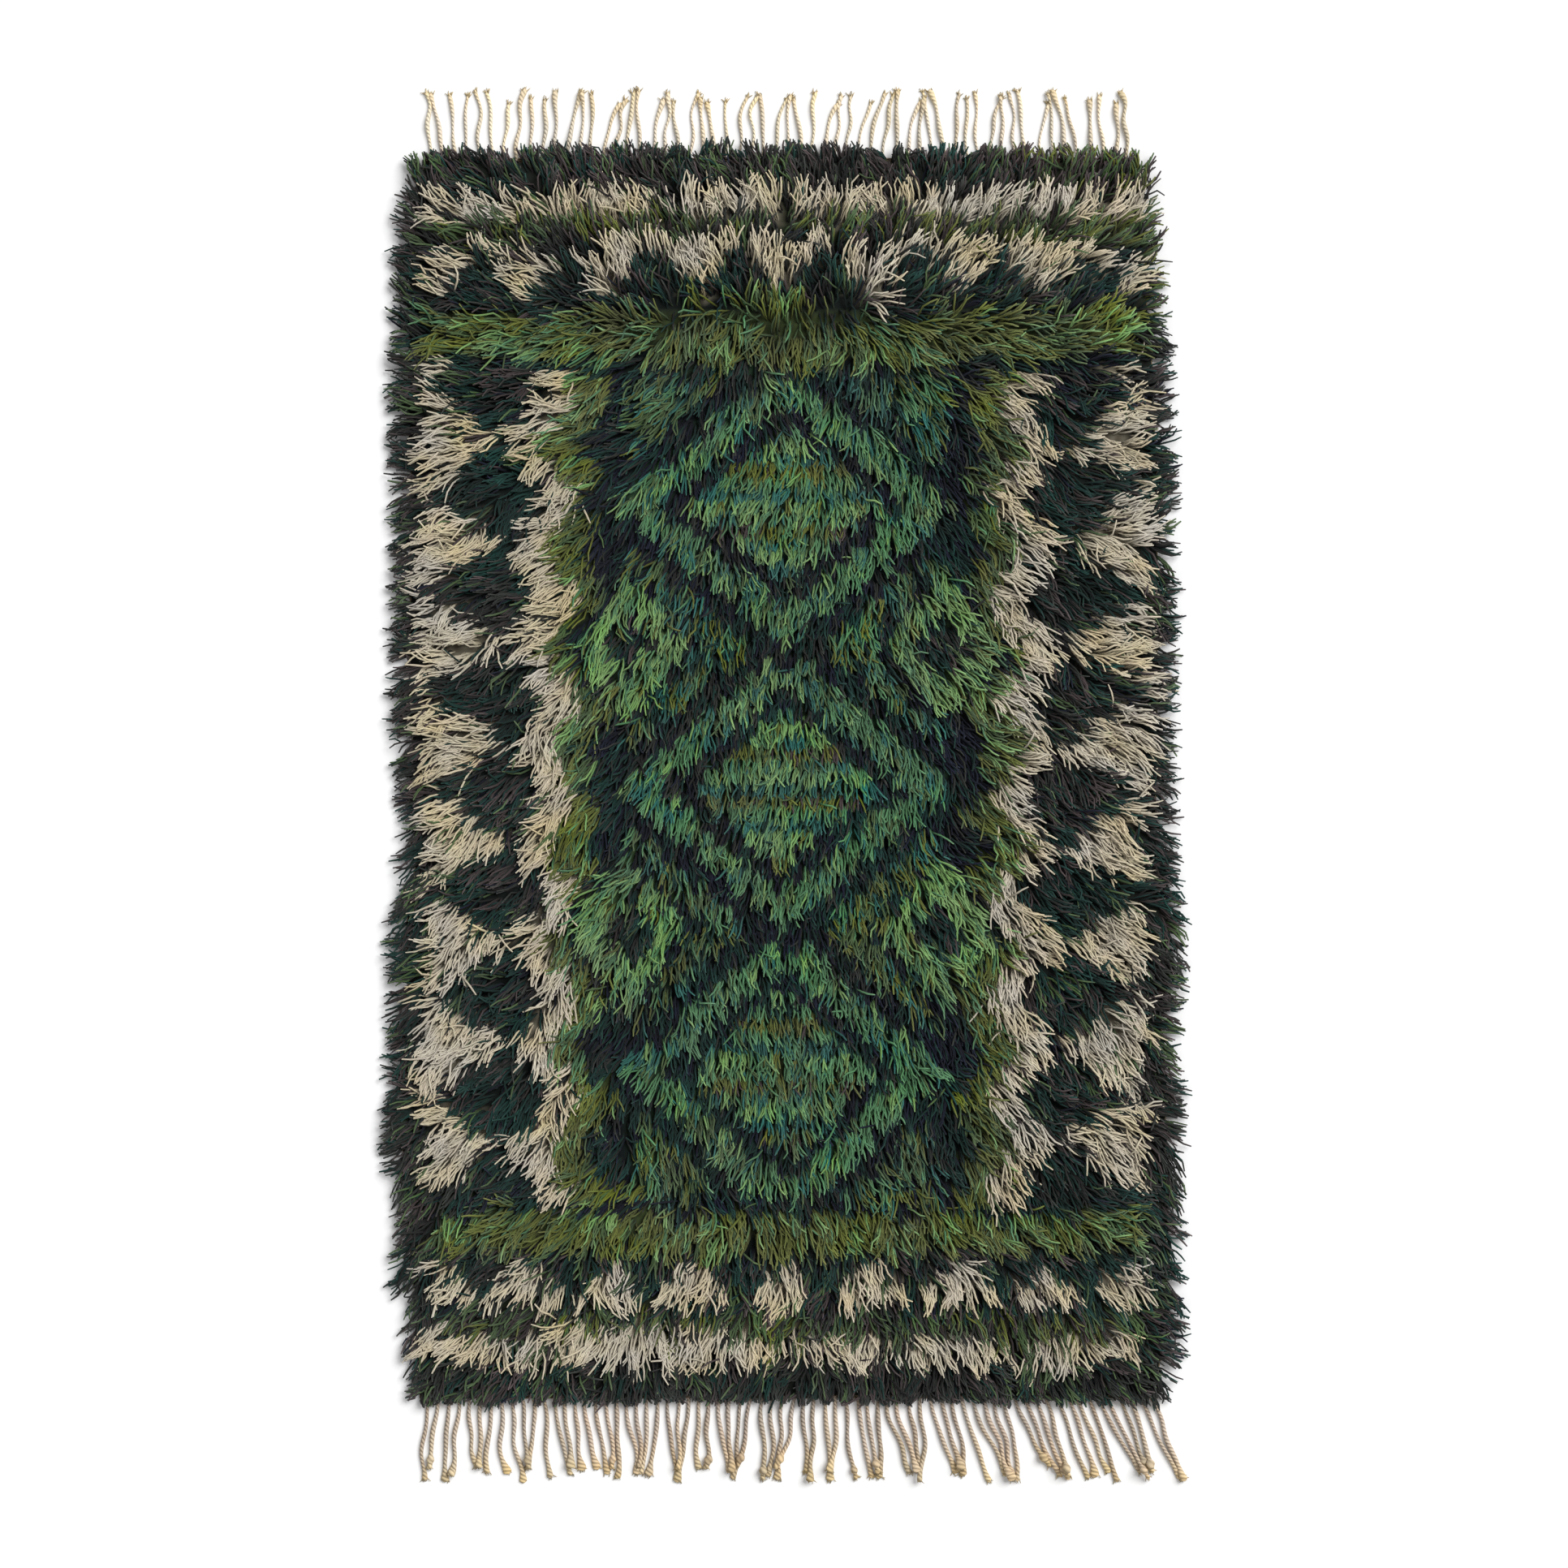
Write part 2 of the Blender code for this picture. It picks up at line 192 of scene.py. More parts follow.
def drift(x, y, size, seed):
    """A smooth random field from -1 to 1, with forms about as large as size."""
    count = 101
    table = np.random.default_rng(seed).uniform(-1.0, 1.0, (count, count))
    u, v = x / size + 3.0 * count, y / size + 3.0 * count
    i, j = np.floor(u).astype(int), np.floor(v).astype(int)
    u, v = u - i, v - j
    u, v = u * u * (3.0 - 2.0 * u), v * v * (3.0 - 2.0 * v)
    i0, i1, j0, j1 = i % count, (i + 1) % count, j % count, (j + 1) % count
    low = table[i0, j0] * (1.0 - u) + table[i1, j0] * u
    high = table[i0, j1] * (1.0 - u) + table[i1, j1] * u
    return low * (1.0 - v) + high * v


def linear(colour):
    """An sRGB colour of 0 to 255 as linear numbers."""
    c = np.asarray(colour, float) / 255.0
    return np.where(c <= 0.04045, c / 12.92, ((c + 0.055) / 1.055) ** 2.4)


# Shader groups
class Nodes:
    """A small helper that places nodes and links them by socket name."""

    def __init__(self, tree):
        self.tree = tree

    def add(self, kind, **values):
        node = self.tree.nodes.new(kind)
        for name, value in values.items():
            setattr(node, name, value)
        return node

    def link(self, source, target):
        self.tree.links.new(source, target)

    def math(self, operation, first, second=None, clamp=False):
        node = self.add("ShaderNodeMath", operation=operation, use_clamp=clamp)
        for socket, value in zip(node.inputs, (first, second)):
            if value is None:
                continue
            if isinstance(value, (int, float)):
                socket.default_value = value
            else:
                self.link(value, socket)
        return node.outputs[0]

    def noise(self, place, scale, detail):
        node = self.add("ShaderNodeTexNoise")
        node.inputs["Scale"].default_value = scale
        node.inputs["Detail"].default_value = detail
        self.link(place, node.inputs["Vector"])
        return node.outputs["Fac"]

    def mix(self, factor, first, second, blend_type="MIX"):
        node = self.add("ShaderNodeMix", data_type="RGBA", blend_type=blend_type)
        self.link(factor, node.inputs["Factor"])
        for name, value in (("A", first), ("B", second)):
            if isinstance(value, tuple):
                node.inputs[name].default_value = value
            else:
                self.link(value, node.inputs[name])
        return node.outputs["Result"]

    def bump(self, shader, height, strength, distance):
        node = self.add("ShaderNodeBump")
        node.inputs["Strength"].default_value = strength
        node.inputs["Distance"].default_value = distance
        self.link(height, node.inputs["Height"])
        self.link(node.outputs["Normal"], shader.inputs["Normal"])


def new_group(name, inputs, outputs):
    group = bpy.data.node_groups.new(name, "ShaderNodeTree")
    for label, kind, value in inputs:
        made = group.interface.new_socket(label, in_out="INPUT", socket_type=kind)
        made.default_value = value
    for label, kind in outputs:
        group.interface.new_socket(label, in_out="OUTPUT", socket_type=kind)
    nodes = Nodes(group)
    return group, nodes, nodes.add("NodeGroupInput"), nodes.add("NodeGroupOutput")


def yarn_shade_group():
    """Dyed yarn: each end a little lighter or darker, with painted shade towards its root, and streaks of
    fibre.
    """
    group, nodes, given, out = new_group(
        "yarn_shade",
        (
            ("Dye", "NodeSocketColor", (0.5, 0.5, 0.5, 1.0)),
            ("Variation", "NodeSocketFloat", 0.2),
            ("Hue drift", "NodeSocketFloat", 0.02),
            ("Root shade", "NodeSocketFloat", 0.6),
            ("Tip dye", "NodeSocketColor", (0.5, 0.5, 0.5, 1.0)),
            ("Tip share", "NodeSocketFloat", 0.0),
            ("Fading", "NodeSocketFloat", 0.6),
        ),
        (("Colour", "NodeSocketColor"), ("Fibre", "NodeSocketFloat")),
    )
    strand = nodes.add("ShaderNodeAttribute", attribute_name="strand")
    parts = nodes.add("ShaderNodeSeparateColor")
    nodes.link(strand.outputs["Color"], parts.inputs[0])
    lot, second, share = parts.outputs
    place = nodes.add("ShaderNodeTexCoord").outputs["Object"]
    patch = nodes.noise(place, 14.0, 2.0)
    fibre = nodes.noise(place, 900.0, 3.0)

    off = nodes.math("SUBTRACT", lot, 0.5)
    patch_off = nodes.math("SUBTRACT", patch, 0.5)
    fibre_off = nodes.math("SUBTRACT", fibre, 0.5)
    off = nodes.math("ADD", nodes.math("MULTIPLY", off, 2.0), nodes.math("MULTIPLY", patch_off, 1.6))
    off = nodes.math("ADD", off, nodes.math("MULTIPLY", fibre_off, 1.2))
    light = nodes.math("ADD", nodes.math("MULTIPLY", off, given.outputs["Variation"]), 1.0)
    # Painted shade: the colour darkens towards the root, deep in the pile, by Root shade.
    painted_root_shade = nodes.math("POWER", nodes.math("SUBTRACT", 1.0, share), 1.15)
    painted_root_shade = nodes.math("SUBTRACT", 1.0, nodes.math("MULTIPLY", painted_root_shade, given.outputs["Root shade"]))
    light = nodes.math("MULTIPLY", light, painted_root_shade)

    # Near the tip the colour turns to the tip colour: yellowing on the cords, and on the pile a paler tip
    # that is partly wear and partly painted highlight.
    near_tip = nodes.math("MULTIPLY", nodes.math("POWER", share, 4.0), given.outputs["Tip share"])
    tipped = nodes.mix(near_tip, given.outputs["Dye"], given.outputs["Tip dye"])
    turned = nodes.add("ShaderNodeHueSaturation")
    nodes.link(tipped, turned.inputs["Color"])
    hue = nodes.math("MULTIPLY", nodes.math("SUBTRACT", second, 0.5), given.outputs["Hue drift"])
    nodes.link(nodes.math("ADD", hue, 0.5), turned.inputs["Hue"])
    nodes.link(light, turned.inputs["Value"])
    faded = nodes.math("ADD", nodes.math("MULTIPLY", patch_off, given.outputs["Fading"]), 1.0)
    nodes.link(faded, turned.inputs["Saturation"])
    nodes.link(turned.outputs["Color"], out.inputs["Colour"])
    nodes.link(fibre, out.inputs["Fibre"])
    return group


def yarn_ply_group():
    """The twist of a plied yarn, from its own map: its height, and masks of its grooves and its turned-away
    sides where shade is painted.
    """
    group, nodes, given, out = new_group(
        "yarn_ply",
        (
            ("Plies", "NodeSocketFloat", 2.0),
            ("Turns per metre", "NodeSocketFloat", 90.0),
            ("Fibre depth", "NodeSocketFloat", 0.35),
        ),
        (("Height", "NodeSocketFloat"), ("Groove", "NodeSocketFloat"), ("Side", "NodeSocketFloat")),
    )
    wound = nodes.add("ShaderNodeUVMap", uv_map="yarn")
    parts = nodes.add("ShaderNodeSeparateXYZ")
    nodes.link(wound.outputs["UV"], parts.inputs[0])
    turn = nodes.math("MULTIPLY", parts.outputs["Y"], given.outputs["Turns per metre"])
    turn = nodes.math("ADD", nodes.math("MULTIPLY", parts.outputs["X"], given.outputs["Plies"]), turn)
    wave = nodes.math("SINE", nodes.math("MULTIPLY", turn, 2.0 * math.pi))
    ridge = nodes.math("ADD", nodes.math("MULTIPLY", wave, 0.5), 0.5)
    ridge = nodes.math("POWER", ridge, 0.6)
    fibre = nodes.noise(nodes.add("ShaderNodeTexCoord").outputs["Object"], 1400.0, 3.0)
    fine = nodes.math("MULTIPLY", fibre, given.outputs["Fibre depth"])
    nodes.link(nodes.math("ADD", ridge, fine), out.inputs["Height"])
    # The Groove mask marks where shade is painted between the plies.
    nodes.link(nodes.math("SUBTRACT", 1.0, ridge), out.inputs["Groove"])
    # The Side mask rises from the ridge to the yarn's edges, where shade is painted.
    side = nodes.math("ABSOLUTE", nodes.math("SUBTRACT", parts.outputs["X"], RIDGE_TOP))
    side = nodes.math("DIVIDE", side, RIDGE_TOP)
    nodes.link(nodes.math("POWER", side, 2.2), out.inputs["Side"])
    return group


def weave_group():
    """A plain weave of weft over warp, in the rug's own metres."""
    group, nodes, given, out = new_group(
        "plain_weave",
        (
            ("Warp pitch", "NodeSocketFloat", 0.004),
            ("Weft pitch", "NodeSocketFloat", 0.0022),
            ("Slub", "NodeSocketFloat", 0.3),
        ),
        (("Height", "NodeSocketFloat"), ("Crossing", "NodeSocketFloat"), ("Slubs", "NodeSocketFloat")),
    )
    place = nodes.add("ShaderNodeTexCoord").outputs["Object"]
    slub = nodes.noise(place, 60.0, 4.0)
    parts = nodes.add("ShaderNodeSeparateXYZ")
    nodes.link(place, parts.inputs[0])
    wobble = nodes.math("MULTIPLY", slub, nodes.math("MULTIPLY", given.outputs["Slub"], 0.01))
    across = nodes.math("DIVIDE", nodes.math("ADD", parts.outputs["X"], wobble), given.outputs["Warp pitch"])
    along = nodes.math("DIVIDE", nodes.math("ADD", parts.outputs["Y"], wobble), given.outputs["Weft pitch"])
    warp = nodes.math("SINE", nodes.math("MULTIPLY", across, math.pi))
    weft = nodes.math("SINE", nodes.math("MULTIPLY", along, math.pi))
    crossing = nodes.math("MULTIPLY", warp, weft)
    ribs = nodes.math("ABSOLUTE", weft)
    height = nodes.math("ADD", nodes.math("MULTIPLY", crossing, 0.35), ribs)
    nodes.link(height, out.inputs["Height"])
    over = nodes.math("ADD", nodes.math("MULTIPLY", crossing, 0.5), 0.5)
    nodes.link(over, out.inputs["Crossing"])
    nodes.link(slub, out.inputs["Slubs"])
    return group


SHADE = yarn_shade_group()
PLY = yarn_ply_group()
WEAVE = weave_group()


def place_group(nodes, group, **values):
    node = nodes.add("ShaderNodeGroup", node_tree=group)
    for name, value in values.items():
        node.inputs[name.replace("_", " ")].default_value = value
    return node


def new_material(name, roughness, sheen, specular=0.25):
    material = bpy.data.materials.new(name)
    material.use_nodes = True
    shader = material.node_tree.nodes["Principled BSDF"]
    shader.inputs["Roughness"].default_value = roughness
    shader.inputs["Specular IOR Level"].default_value = specular
    shader.inputs["Sheen Weight"].default_value = sheen
    shader.inputs["Sheen Roughness"].default_value = 0.5
    return material, Nodes(material.node_tree), shader


def pile_material(name, dye, vary, painted_root_shade, fading):
    """Loosely spun pile yarn, with painted shade at its root, along its sides and in its ply grooves, and a
    paler tip that is partly wear and partly a painted highlight.
    """
    wear_and_highlight_tip = [part + TIP_WEAR_AND_HIGHLIGHT_SHARE * (TIP_WEAR_AND_HIGHLIGHT_DYE - part) for part in dye]
    return yarn_material(
        name, dye, wear_and_highlight_tip, vary, root_shade=painted_root_shade, fading=fading, hue=0.026, turns=PILE_TURNS,
        groove=0.40, side=0.80, bump=0.0006,
    )


def cord_material(name, dye, tip_dye, vary, groove):
    """Hard-twisted warp yarn, two plies with painted shade in the groove between them and a little at its
    root, yellowed at its end.
    """
    return yarn_material(
        name, dye, tip_dye, vary, root_shade=0.12, fading=0.9, hue=0.014, turns=-CORD_TURNS,
        groove=groove, side=0.0, bump=0.0016,
    )


def yarn_material(name, dye, tip_dye, vary, root_shade, fading, hue, turns, groove, side, bump):
    material, nodes, shader = new_material(name, 0.88, 0.06)
    shade = place_group(
        nodes, SHADE, Variation=vary, Root_shade=root_shade, Hue_drift=hue, Tip_share=0.8, Fading=fading,
    )
    shade.inputs["Dye"].default_value = (*linear(dye), 1.0)
    shade.inputs["Tip dye"].default_value = (*linear(tip_dye), 1.0)
    ply = place_group(nodes, PLY, Turns_per_metre=turns)
    # Painted shade: the ply grooves and the turned-away sides are darkened towards dark brown.
    shaded = nodes.math("MULTIPLY", ply.outputs["Groove"], groove)
    shaded = nodes.math("ADD", shaded, nodes.math("MULTIPLY", ply.outputs["Side"], side))
    grooved = nodes.mix(shaded, shade.outputs["Colour"], (0.32, 0.28, 0.26, 1.0), "MULTIPLY")
    nodes.link(grooved, shader.inputs["Base Color"])
    nodes.bump(shader, ply.outputs["Height"], 0.8, bump)
    return material


def weave_material(name, weft_colour, warp_colour):
    material, nodes, shader = new_material(name, 0.9, 0.1)
    weave = place_group(nodes, WEAVE)
    weft, warp = (*linear(weft_colour), 1.0), (*linear(warp_colour), 1.0)
    mixed = nodes.mix(weave.outputs["Crossing"], weft, warp)
    dull = nodes.mix(weave.outputs["Slubs"], mixed, (0.62, 0.60, 0.56, 1.0), "MULTIPLY")
    nodes.link(dull, shader.inputs["Base Color"])
    nodes.bump(shader, weave.outputs["Height"], 0.7, 0.0008)
    return material


# Mesh making
def add_piece(name, mesh, material, slot, *nodes):
    mesh.materials.append(material)
    made = bpy.data.objects.new(name, mesh)
    bpy.context.scene.collection.objects.link(made)
    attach(made, "root")
    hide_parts(*nodes)
    return made


def fill_mesh(name, places, corners, counts):
    """A smooth mesh from points, the faces' corners in a row, and the corners of each face."""
    mesh = bpy.data.meshes.new(name)
    mesh.vertices.add(len(places))
    mesh.vertices.foreach_set("co", np.ascontiguousarray(places, np.float32).ravel())
    mesh.loops.add(len(corners))
    mesh.loops.foreach_set("vertex_index", np.ascontiguousarray(corners, np.int32))
    mesh.polygons.add(len(counts))
    starts = np.concatenate(([0], np.cumsum(counts)[:-1]))
    mesh.polygons.foreach_set("loop_start", starts.astype(np.int32))
    mesh.update(calc_edges=True)
    mesh.validate()
    mesh.shade_smooth()
    return mesh


def frames_along(path):
    """For each ring of each path: the side and the lift, both square to the path."""
    ahead = np.gradient(path, axis=1)
    ahead /= np.linalg.norm(ahead, axis=2, keepdims=True)
    side = np.cross(ahead, np.array([0.0, 0.0, 1.0]))
    side /= np.maximum(np.linalg.norm(side, axis=2, keepdims=True), 1e-9)
    lift = np.cross(side, ahead)
    return side, lift


def run_along(path):
    """How far each ring lies along its path, in metres."""
    step = np.linalg.norm(np.diff(path, axis=1), axis=2)
    return np.concatenate((np.zeros((len(path), 1)), np.cumsum(step, axis=1)), axis=1)


def tube_mesh(name, path, radius, sides, lot, flat=1.0):
    """Closed tubes, one for each path, with a map of their own length and one that lays each apart.

    path is (tubes, rings, 3), radius and flat (tubes, rings), and lot (tubes, 2), drawn for each tube.
    """
    tubes, rings = radius.shape
    side, lift = frames_along(path)
    angle = 0.5 * math.pi + 2.0 * math.pi * np.arange(sides) / sides
    out = radius[:, :, None] * np.cos(angle)
    up = (radius * flat)[:, :, None] * np.sin(angle)
    places = path[:, :, None, :] + out[..., None] * side[:, :, None, :] + up[..., None] * lift[:, :, None, :]

    index = np.arange(tubes * rings * sides).reshape(tubes, rings, sides)
    after = np.roll(index, -1, axis=2)
    quads = np.stack([index[:, :-1], index[:, 1:], after[:, 1:], after[:, :-1]], axis=-1)
    root = index[:, 0, :]
    tip = index[:, -1, ::-1]
    corners = np.concatenate((quads.ravel(), root.ravel(), tip.ravel()))
    counts = np.concatenate((np.full(quads.size // 4, 4), np.full(2 * tubes, sides)))
    mesh = fill_mesh(name, places.reshape(-1, 3), corners, counts)

    # The yarn's own map: round it, and along it in metres
    run = run_along(path)
    around = np.arange(sides) / sides
    quad_u = np.stack([around, around, around + 1.0 / sides, around + 1.0 / sides], axis=-1)
    u = np.broadcast_to(quad_u, (tubes, rings - 1, sides, 4))
    v = np.stack([run[:, :-1], run[:, 1:], run[:, 1:], run[:, :-1]], axis=-1)
    v = np.broadcast_to(v[:, :, None, :], (tubes, rings - 1, sides, 4))
    cap_u = np.tile(around, 2 * tubes)
    cap_v = np.repeat(np.concatenate((run[:, 0], run[:, -1])), sides)
    wound = np.stack((np.concatenate((u.ravel(), cap_u)), np.concatenate((v.ravel(), cap_v))), axis=1)
    mesh.uv_layers.new(name="yarn").uv.foreach_set("vector", wound.astype(np.float32).ravel())

    # The flat map: every tube in a cell of its own, its two ends above its sides
    cells = math.ceil(math.sqrt(tubes))
    cell = 1.0 / cells
    corner = np.stack((np.arange(tubes) % cells, np.arange(tubes) // cells), axis=1) * cell
    share = np.arange(rings) / (rings - 1)
    low, high = share[:-1, None], share[1:, None]
    bu = 0.06 + 0.88 * np.broadcast_to(quad_u, (rings - 1, sides, 4))
    bv = 0.05 + 0.70 * np.broadcast_to(np.stack([low, high, high, low], axis=-1), (rings - 1, sides, 4))
    sides_uv = np.stack((bu, bv), axis=-1).reshape(-1, 2)
    round_uv = np.stack((np.cos(2.0 * math.pi * around), np.sin(2.0 * math.pi * around)), axis=1)
    root_uv = np.array((0.25, 0.88)) + 0.09 * round_uv
    tip_uv = np.array((0.75, 0.88)) + 0.09 * round_uv[::-1]
    flat_uv = np.concatenate((
        (corner[:, None, :] + cell * sides_uv).reshape(-1, 2),
        (corner[:, None, :] + cell * root_uv).reshape(-1, 2),
        (corner[:, None, :] + cell * tip_uv).reshape(-1, 2),
    ))
    mesh.uv_layers.new(name="OFBake").uv.foreach_set("vector", flat_uv.astype(np.float32).ravel())

    tell_strands(mesh, lot, share, sides)
    return mesh


def yarn_mesh(name, path, half, lot):
    """Yarn ends that lie on one another: each is a rounded ridge, open along its underside.

    path is (ends, rings, 3), half the half width (ends, rings), and lot (ends, 2), drawn for each end.
    """
    ends, rings = half.shape
    side, lift = frames_along(path)
    across = half[:, :, None] * np.array([-1.0, 0.0, 1.0])
    up = half[:, :, None] * np.array([-0.55, 0.75, -0.55])
    places = path[:, :, None, :] + across[..., None] * side[:, :, None, :]
    places += up[..., None] * lift[:, :, None, :]
    index = np.arange(ends * rings * 3).reshape(ends, rings, 3)
    quads = np.stack([index[:, :-1, 1:], index[:, 1:, 1:], index[:, 1:, :-1], index[:, :-1, :-1]], axis=-1)
    mesh = fill_mesh(name, places.reshape(-1, 3), quads.ravel(), np.full(quads.size // 4, 4))

    # The yarn's own map: round it, and along it in metres
    run = run_along(path)
    around = RIDGE_TOP * np.array([[1.0, 1.0, 0.0, 0.0], [2.0, 2.0, 1.0, 1.0]])
    u = np.broadcast_to(around, (ends, rings - 1, 2, 4))
    v = np.stack([run[:, :-1], run[:, 1:], run[:, 1:], run[:, :-1]], axis=-1)
    v = np.broadcast_to(v[:, :, None, :], u.shape)
    wound = np.stack((u.ravel(), v.ravel()), axis=1)
    mesh.uv_layers.new(name="yarn").uv.foreach_set("vector", wound.astype(np.float32).ravel())

    # The flat map: every end in a cell of its own
    cells = math.ceil(math.sqrt(ends))
    corner = np.stack((np.arange(ends) % cells, np.arange(ends) // cells), axis=1)
    share = np.arange(rings) / (rings - 1)
    low, high = share[:-1, None], share[1:, None]
    cell_u = 0.08 + 1.2 * np.broadcast_to(around, (rings - 1, 2, 4))
    cell_v = 0.06 + 0.88 * np.broadcast_to(np.stack([low, high, high, low], axis=-1), cell_u.shape)
    cell = np.stack((cell_u, cell_v), axis=-1).reshape(-1, 2)
    laid = (corner[:, None, :] + cell) / cells
    mesh.uv_layers.new(name="OFBake").uv.foreach_set("vector", laid.astype(np.float32).ravel())
    tell_strands(mesh, lot, share, 3)
    return mesh


def tell_strands(mesh, lot, share, sides):
    """Store two drawn numbers for each strand, and the share of the way from its root to its tip."""
    told = np.ones((len(lot), len(share), sides, 4), np.float32)
    told[..., 0] = lot[:, 0, None, None]
    told[..., 1] = lot[:, 1, None, None]
    told[..., 2] = share[None, :, None]
    strand = mesh.color_attributes.new("strand", "FLOAT_COLOR", "POINT")
    strand.data.foreach_set("color", told.ravel())


# The pattern: a traditional layout of end stripes, toothed side borders and three stepped lozenges
TOOTH_PERIOD = 0.142
LOZENGE_MIDDLES = (-0.392, 0.014, 0.420)
SMALL_MIDDLES = (-0.189, 0.217)
SMALL_FROM_MIDDLE = 0.215


def zigzag(along, period):
    """A folded wave from -1 to 1."""
    share = along / period
    return 4.0 * np.abs(share - np.floor(share + 0.5)) - 1.0


def zone_at(x, y):
    """The pattern's zone for each knot, as an index into the zone names."""
    zone = np.zeros(x.shape, int)

    def knot(where, name):
        zone[where] = ZONE_NAMES.index(name)

    across = x + 0.008 * drift(x, y, 0.10, 51) + 0.006 * drift(x, y, 0.019, 53)
    y = y + 0.006 * drift(x, y, 0.10, 52)
    away = np.abs(across)
    from_side = 0.557 - away
    from_end = np.minimum(0.900 - y, y + 0.872)

    # Side borders: teeth, a zigzag line, and a green band inside it
    knot(zone == 0, "dark")
    knot(from_side < 0.056 + 0.060 * (1.0 + zigzag(y, TOOTH_PERIOD)), "cream")
    line = from_side - 0.232 - 0.026 * zigzag(y + 0.5 * TOOTH_PERIOD, TOOTH_PERIOD)
    knot(np.abs(line) < 0.021, "cream")
    knot(line >= 0.021, "olive")
    knot(line >= 0.070, "night")

    # The field: three lozenges, with small ones in the gaps at their sides
    knot((line >= 0.070) & (from_side >= 0.342), "meadow")
    for middle in LOZENGE_MIDDLES:
        reach = away / 0.232 + np.abs(y - middle) / 0.204
        for limit, name in ((1.20, "night"), (1.0, "leaf"), (0.76, "night")):
            knot(reach < limit, name)
        heart = reach < 0.58
        row = np.round((y - FIRST_ROW) / ROW_PITCH).astype(int) % len(HEART_ROWS)
        for index, name in enumerate(HEART_ROWS):
            knot(heart & (row == index), name)
    for middle in SMALL_MIDDLES:
        reach = np.abs(away - SMALL_FROM_MIDDLE) / 0.080 + np.abs(y - middle) / 0.100
        for limit, name in ((1.22, "night"), (1.0, "bright"), (0.50, "dark")):
            knot(reach < limit, name)

    # The two ends: an olive stripe, teeth, and a broken cream stripe
    for limit, name in ((0.300, "night"), (0.276, "olive"), (0.222, "dark")):
        knot(from_end < limit, name)
    tooth = 1.9 * (from_end - 0.148) / 0.062 - 1.0
    knot((from_end < 0.210) & (zigzag(across + 0.06, 0.120) > tooth), "cream")
    knot(from_end < 0.148, "dark")
    knot(from_end < 0.134, "moss")
    knot((from_end < 0.108) & (zigzag(across, 0.168) > -0.80), "cream")
    knot(from_end < 0.064, "edge")
    knot(from_side < 0.058, "edge")
    # The top right corner is knotted in the lighter heather mix.
    heather_corner = across + 0.9 * (y - 0.900) > 0.30
    knot(heather_corner & ((from_end < 0.064) | (from_side < 0.058)), "heather")
    return zone


# The pile
def middle_field(x, y):
    """1 in the middle of the rug, where the pile is short and its rows show, and 0 towards the edges."""
    return np.exp(-((x / 0.25) ** 4) - ((y - 0.01) / 0.60) ** 4)


def knot_places(draw):
    """Root, zone and knot number of every yarn end."""
    rows = np.arange(FIRST_ROW, LAST_ROW, ROW_PITCH)
    xs, ys, zones = [], [], []
    for along in rows:
        left, right = side_edges(along)
        left, right = left + CLOTH_INSET, right - CLOTH_INSET
        knots = int((right - left) / KNOT_PITCH)
        x = left + (np.arange(knots) + 0.5) * (right - left) / knots
        xs.append(x + draw.uniform(-0.0016, 0.0016, knots))
        ys.append(along + draw.uniform(-0.0012, 0.0012, knots))
        zones.append(zone_at(x, np.full(knots, along)))
    x, y, zone = (np.concatenate(part) for part in (xs, ys, zones))
    ends = np.full(len(x), int(ENDS_IN_KNOT)) + (draw.random(len(x)) < ENDS_IN_KNOT % 1.0)
    knot = np.repeat(np.arange(len(x)), ends)
    x, y, zone = x[knot], y[knot], zone[knot]
    loose = 1.0 - 0.65 * middle_field(x, y)
    x = x + draw.uniform(-0.0042, 0.0042, len(x))
    y = y + draw.uniform(-0.0046, 0.0046, len(y)) * loose
    return x, y, zone, knot


def yarn_of_zone(x, y, zone, knot, draw):
    """Draw a yarn shade for every end, from mixes that lean one way or another in rows and patches."""
    row = np.round((y - FIRST_ROW) / ROW_PITCH).astype(int)
    shades = len(YARN_NAMES)
    lean = draw.uniform(0.6, 1.4, (row.max() + 1, shades))[row]
    patch = [drift(x, y, PATCH_SIZE, 60 + shade) for shade in range(shades)]
    lean *= np.exp(PATCH_LEAN * np.stack(patch, axis=1))
    mixes = np.array([[mix.get(shade, 0.0) for shade in YARN_NAMES] for mix in ZONE_MIXES.values()])
    share = np.cumsum(mixes[zone] * lean, axis=1)
    share /= share[:, -1:]
    alone = draw.random(len(x))
    alike = draw.random(knot.max() + 1)[knot]
    pick = np.where(draw.random(len(x)) < KNOT_ALIKE, alike, alone)
    return (pick[:, None] > share).sum(axis=1)


def lie_of_pile(x, y):
    """The way the pile lies, in radians from +X, and how settled it is: near 0 along a parting."""
    bent_x = x + 0.030 * drift(x, y, 0.16, 18)
    bent_y = y + 0.034 * drift(x, y, 0.11, 19) + 0.020 * drift(x, y, 0.014, 22)
    places, inner, outer = zip(*LIE_ROWS)
    inner, outer = eased(bent_y, places, inner), eased(bent_y, places, outer)
    share = np.clip(np.abs(bent_x) / 0.54, 0.0, 1.0) ** 1.2
    angle = np.radians(inner + (outer - inner) * share)
    across = np.sign(bent_x) * np.clip(np.abs(bent_x) / 0.26, 0.0, 1.0) ** 1.3 * np.cos(angle)
    along = np.sin(angle)
    settled = np.clip(np.hypot(across, along), 0.0, 1.0)
    free = 1.0 - 0.45 * middle_field(x, y)
    across = across + 0.42 * free * drift(x, y, 0.065, 11)
    along = along + 0.42 * free * drift(x, y, 0.065, 12)
    return np.arctan2(along, across), settled


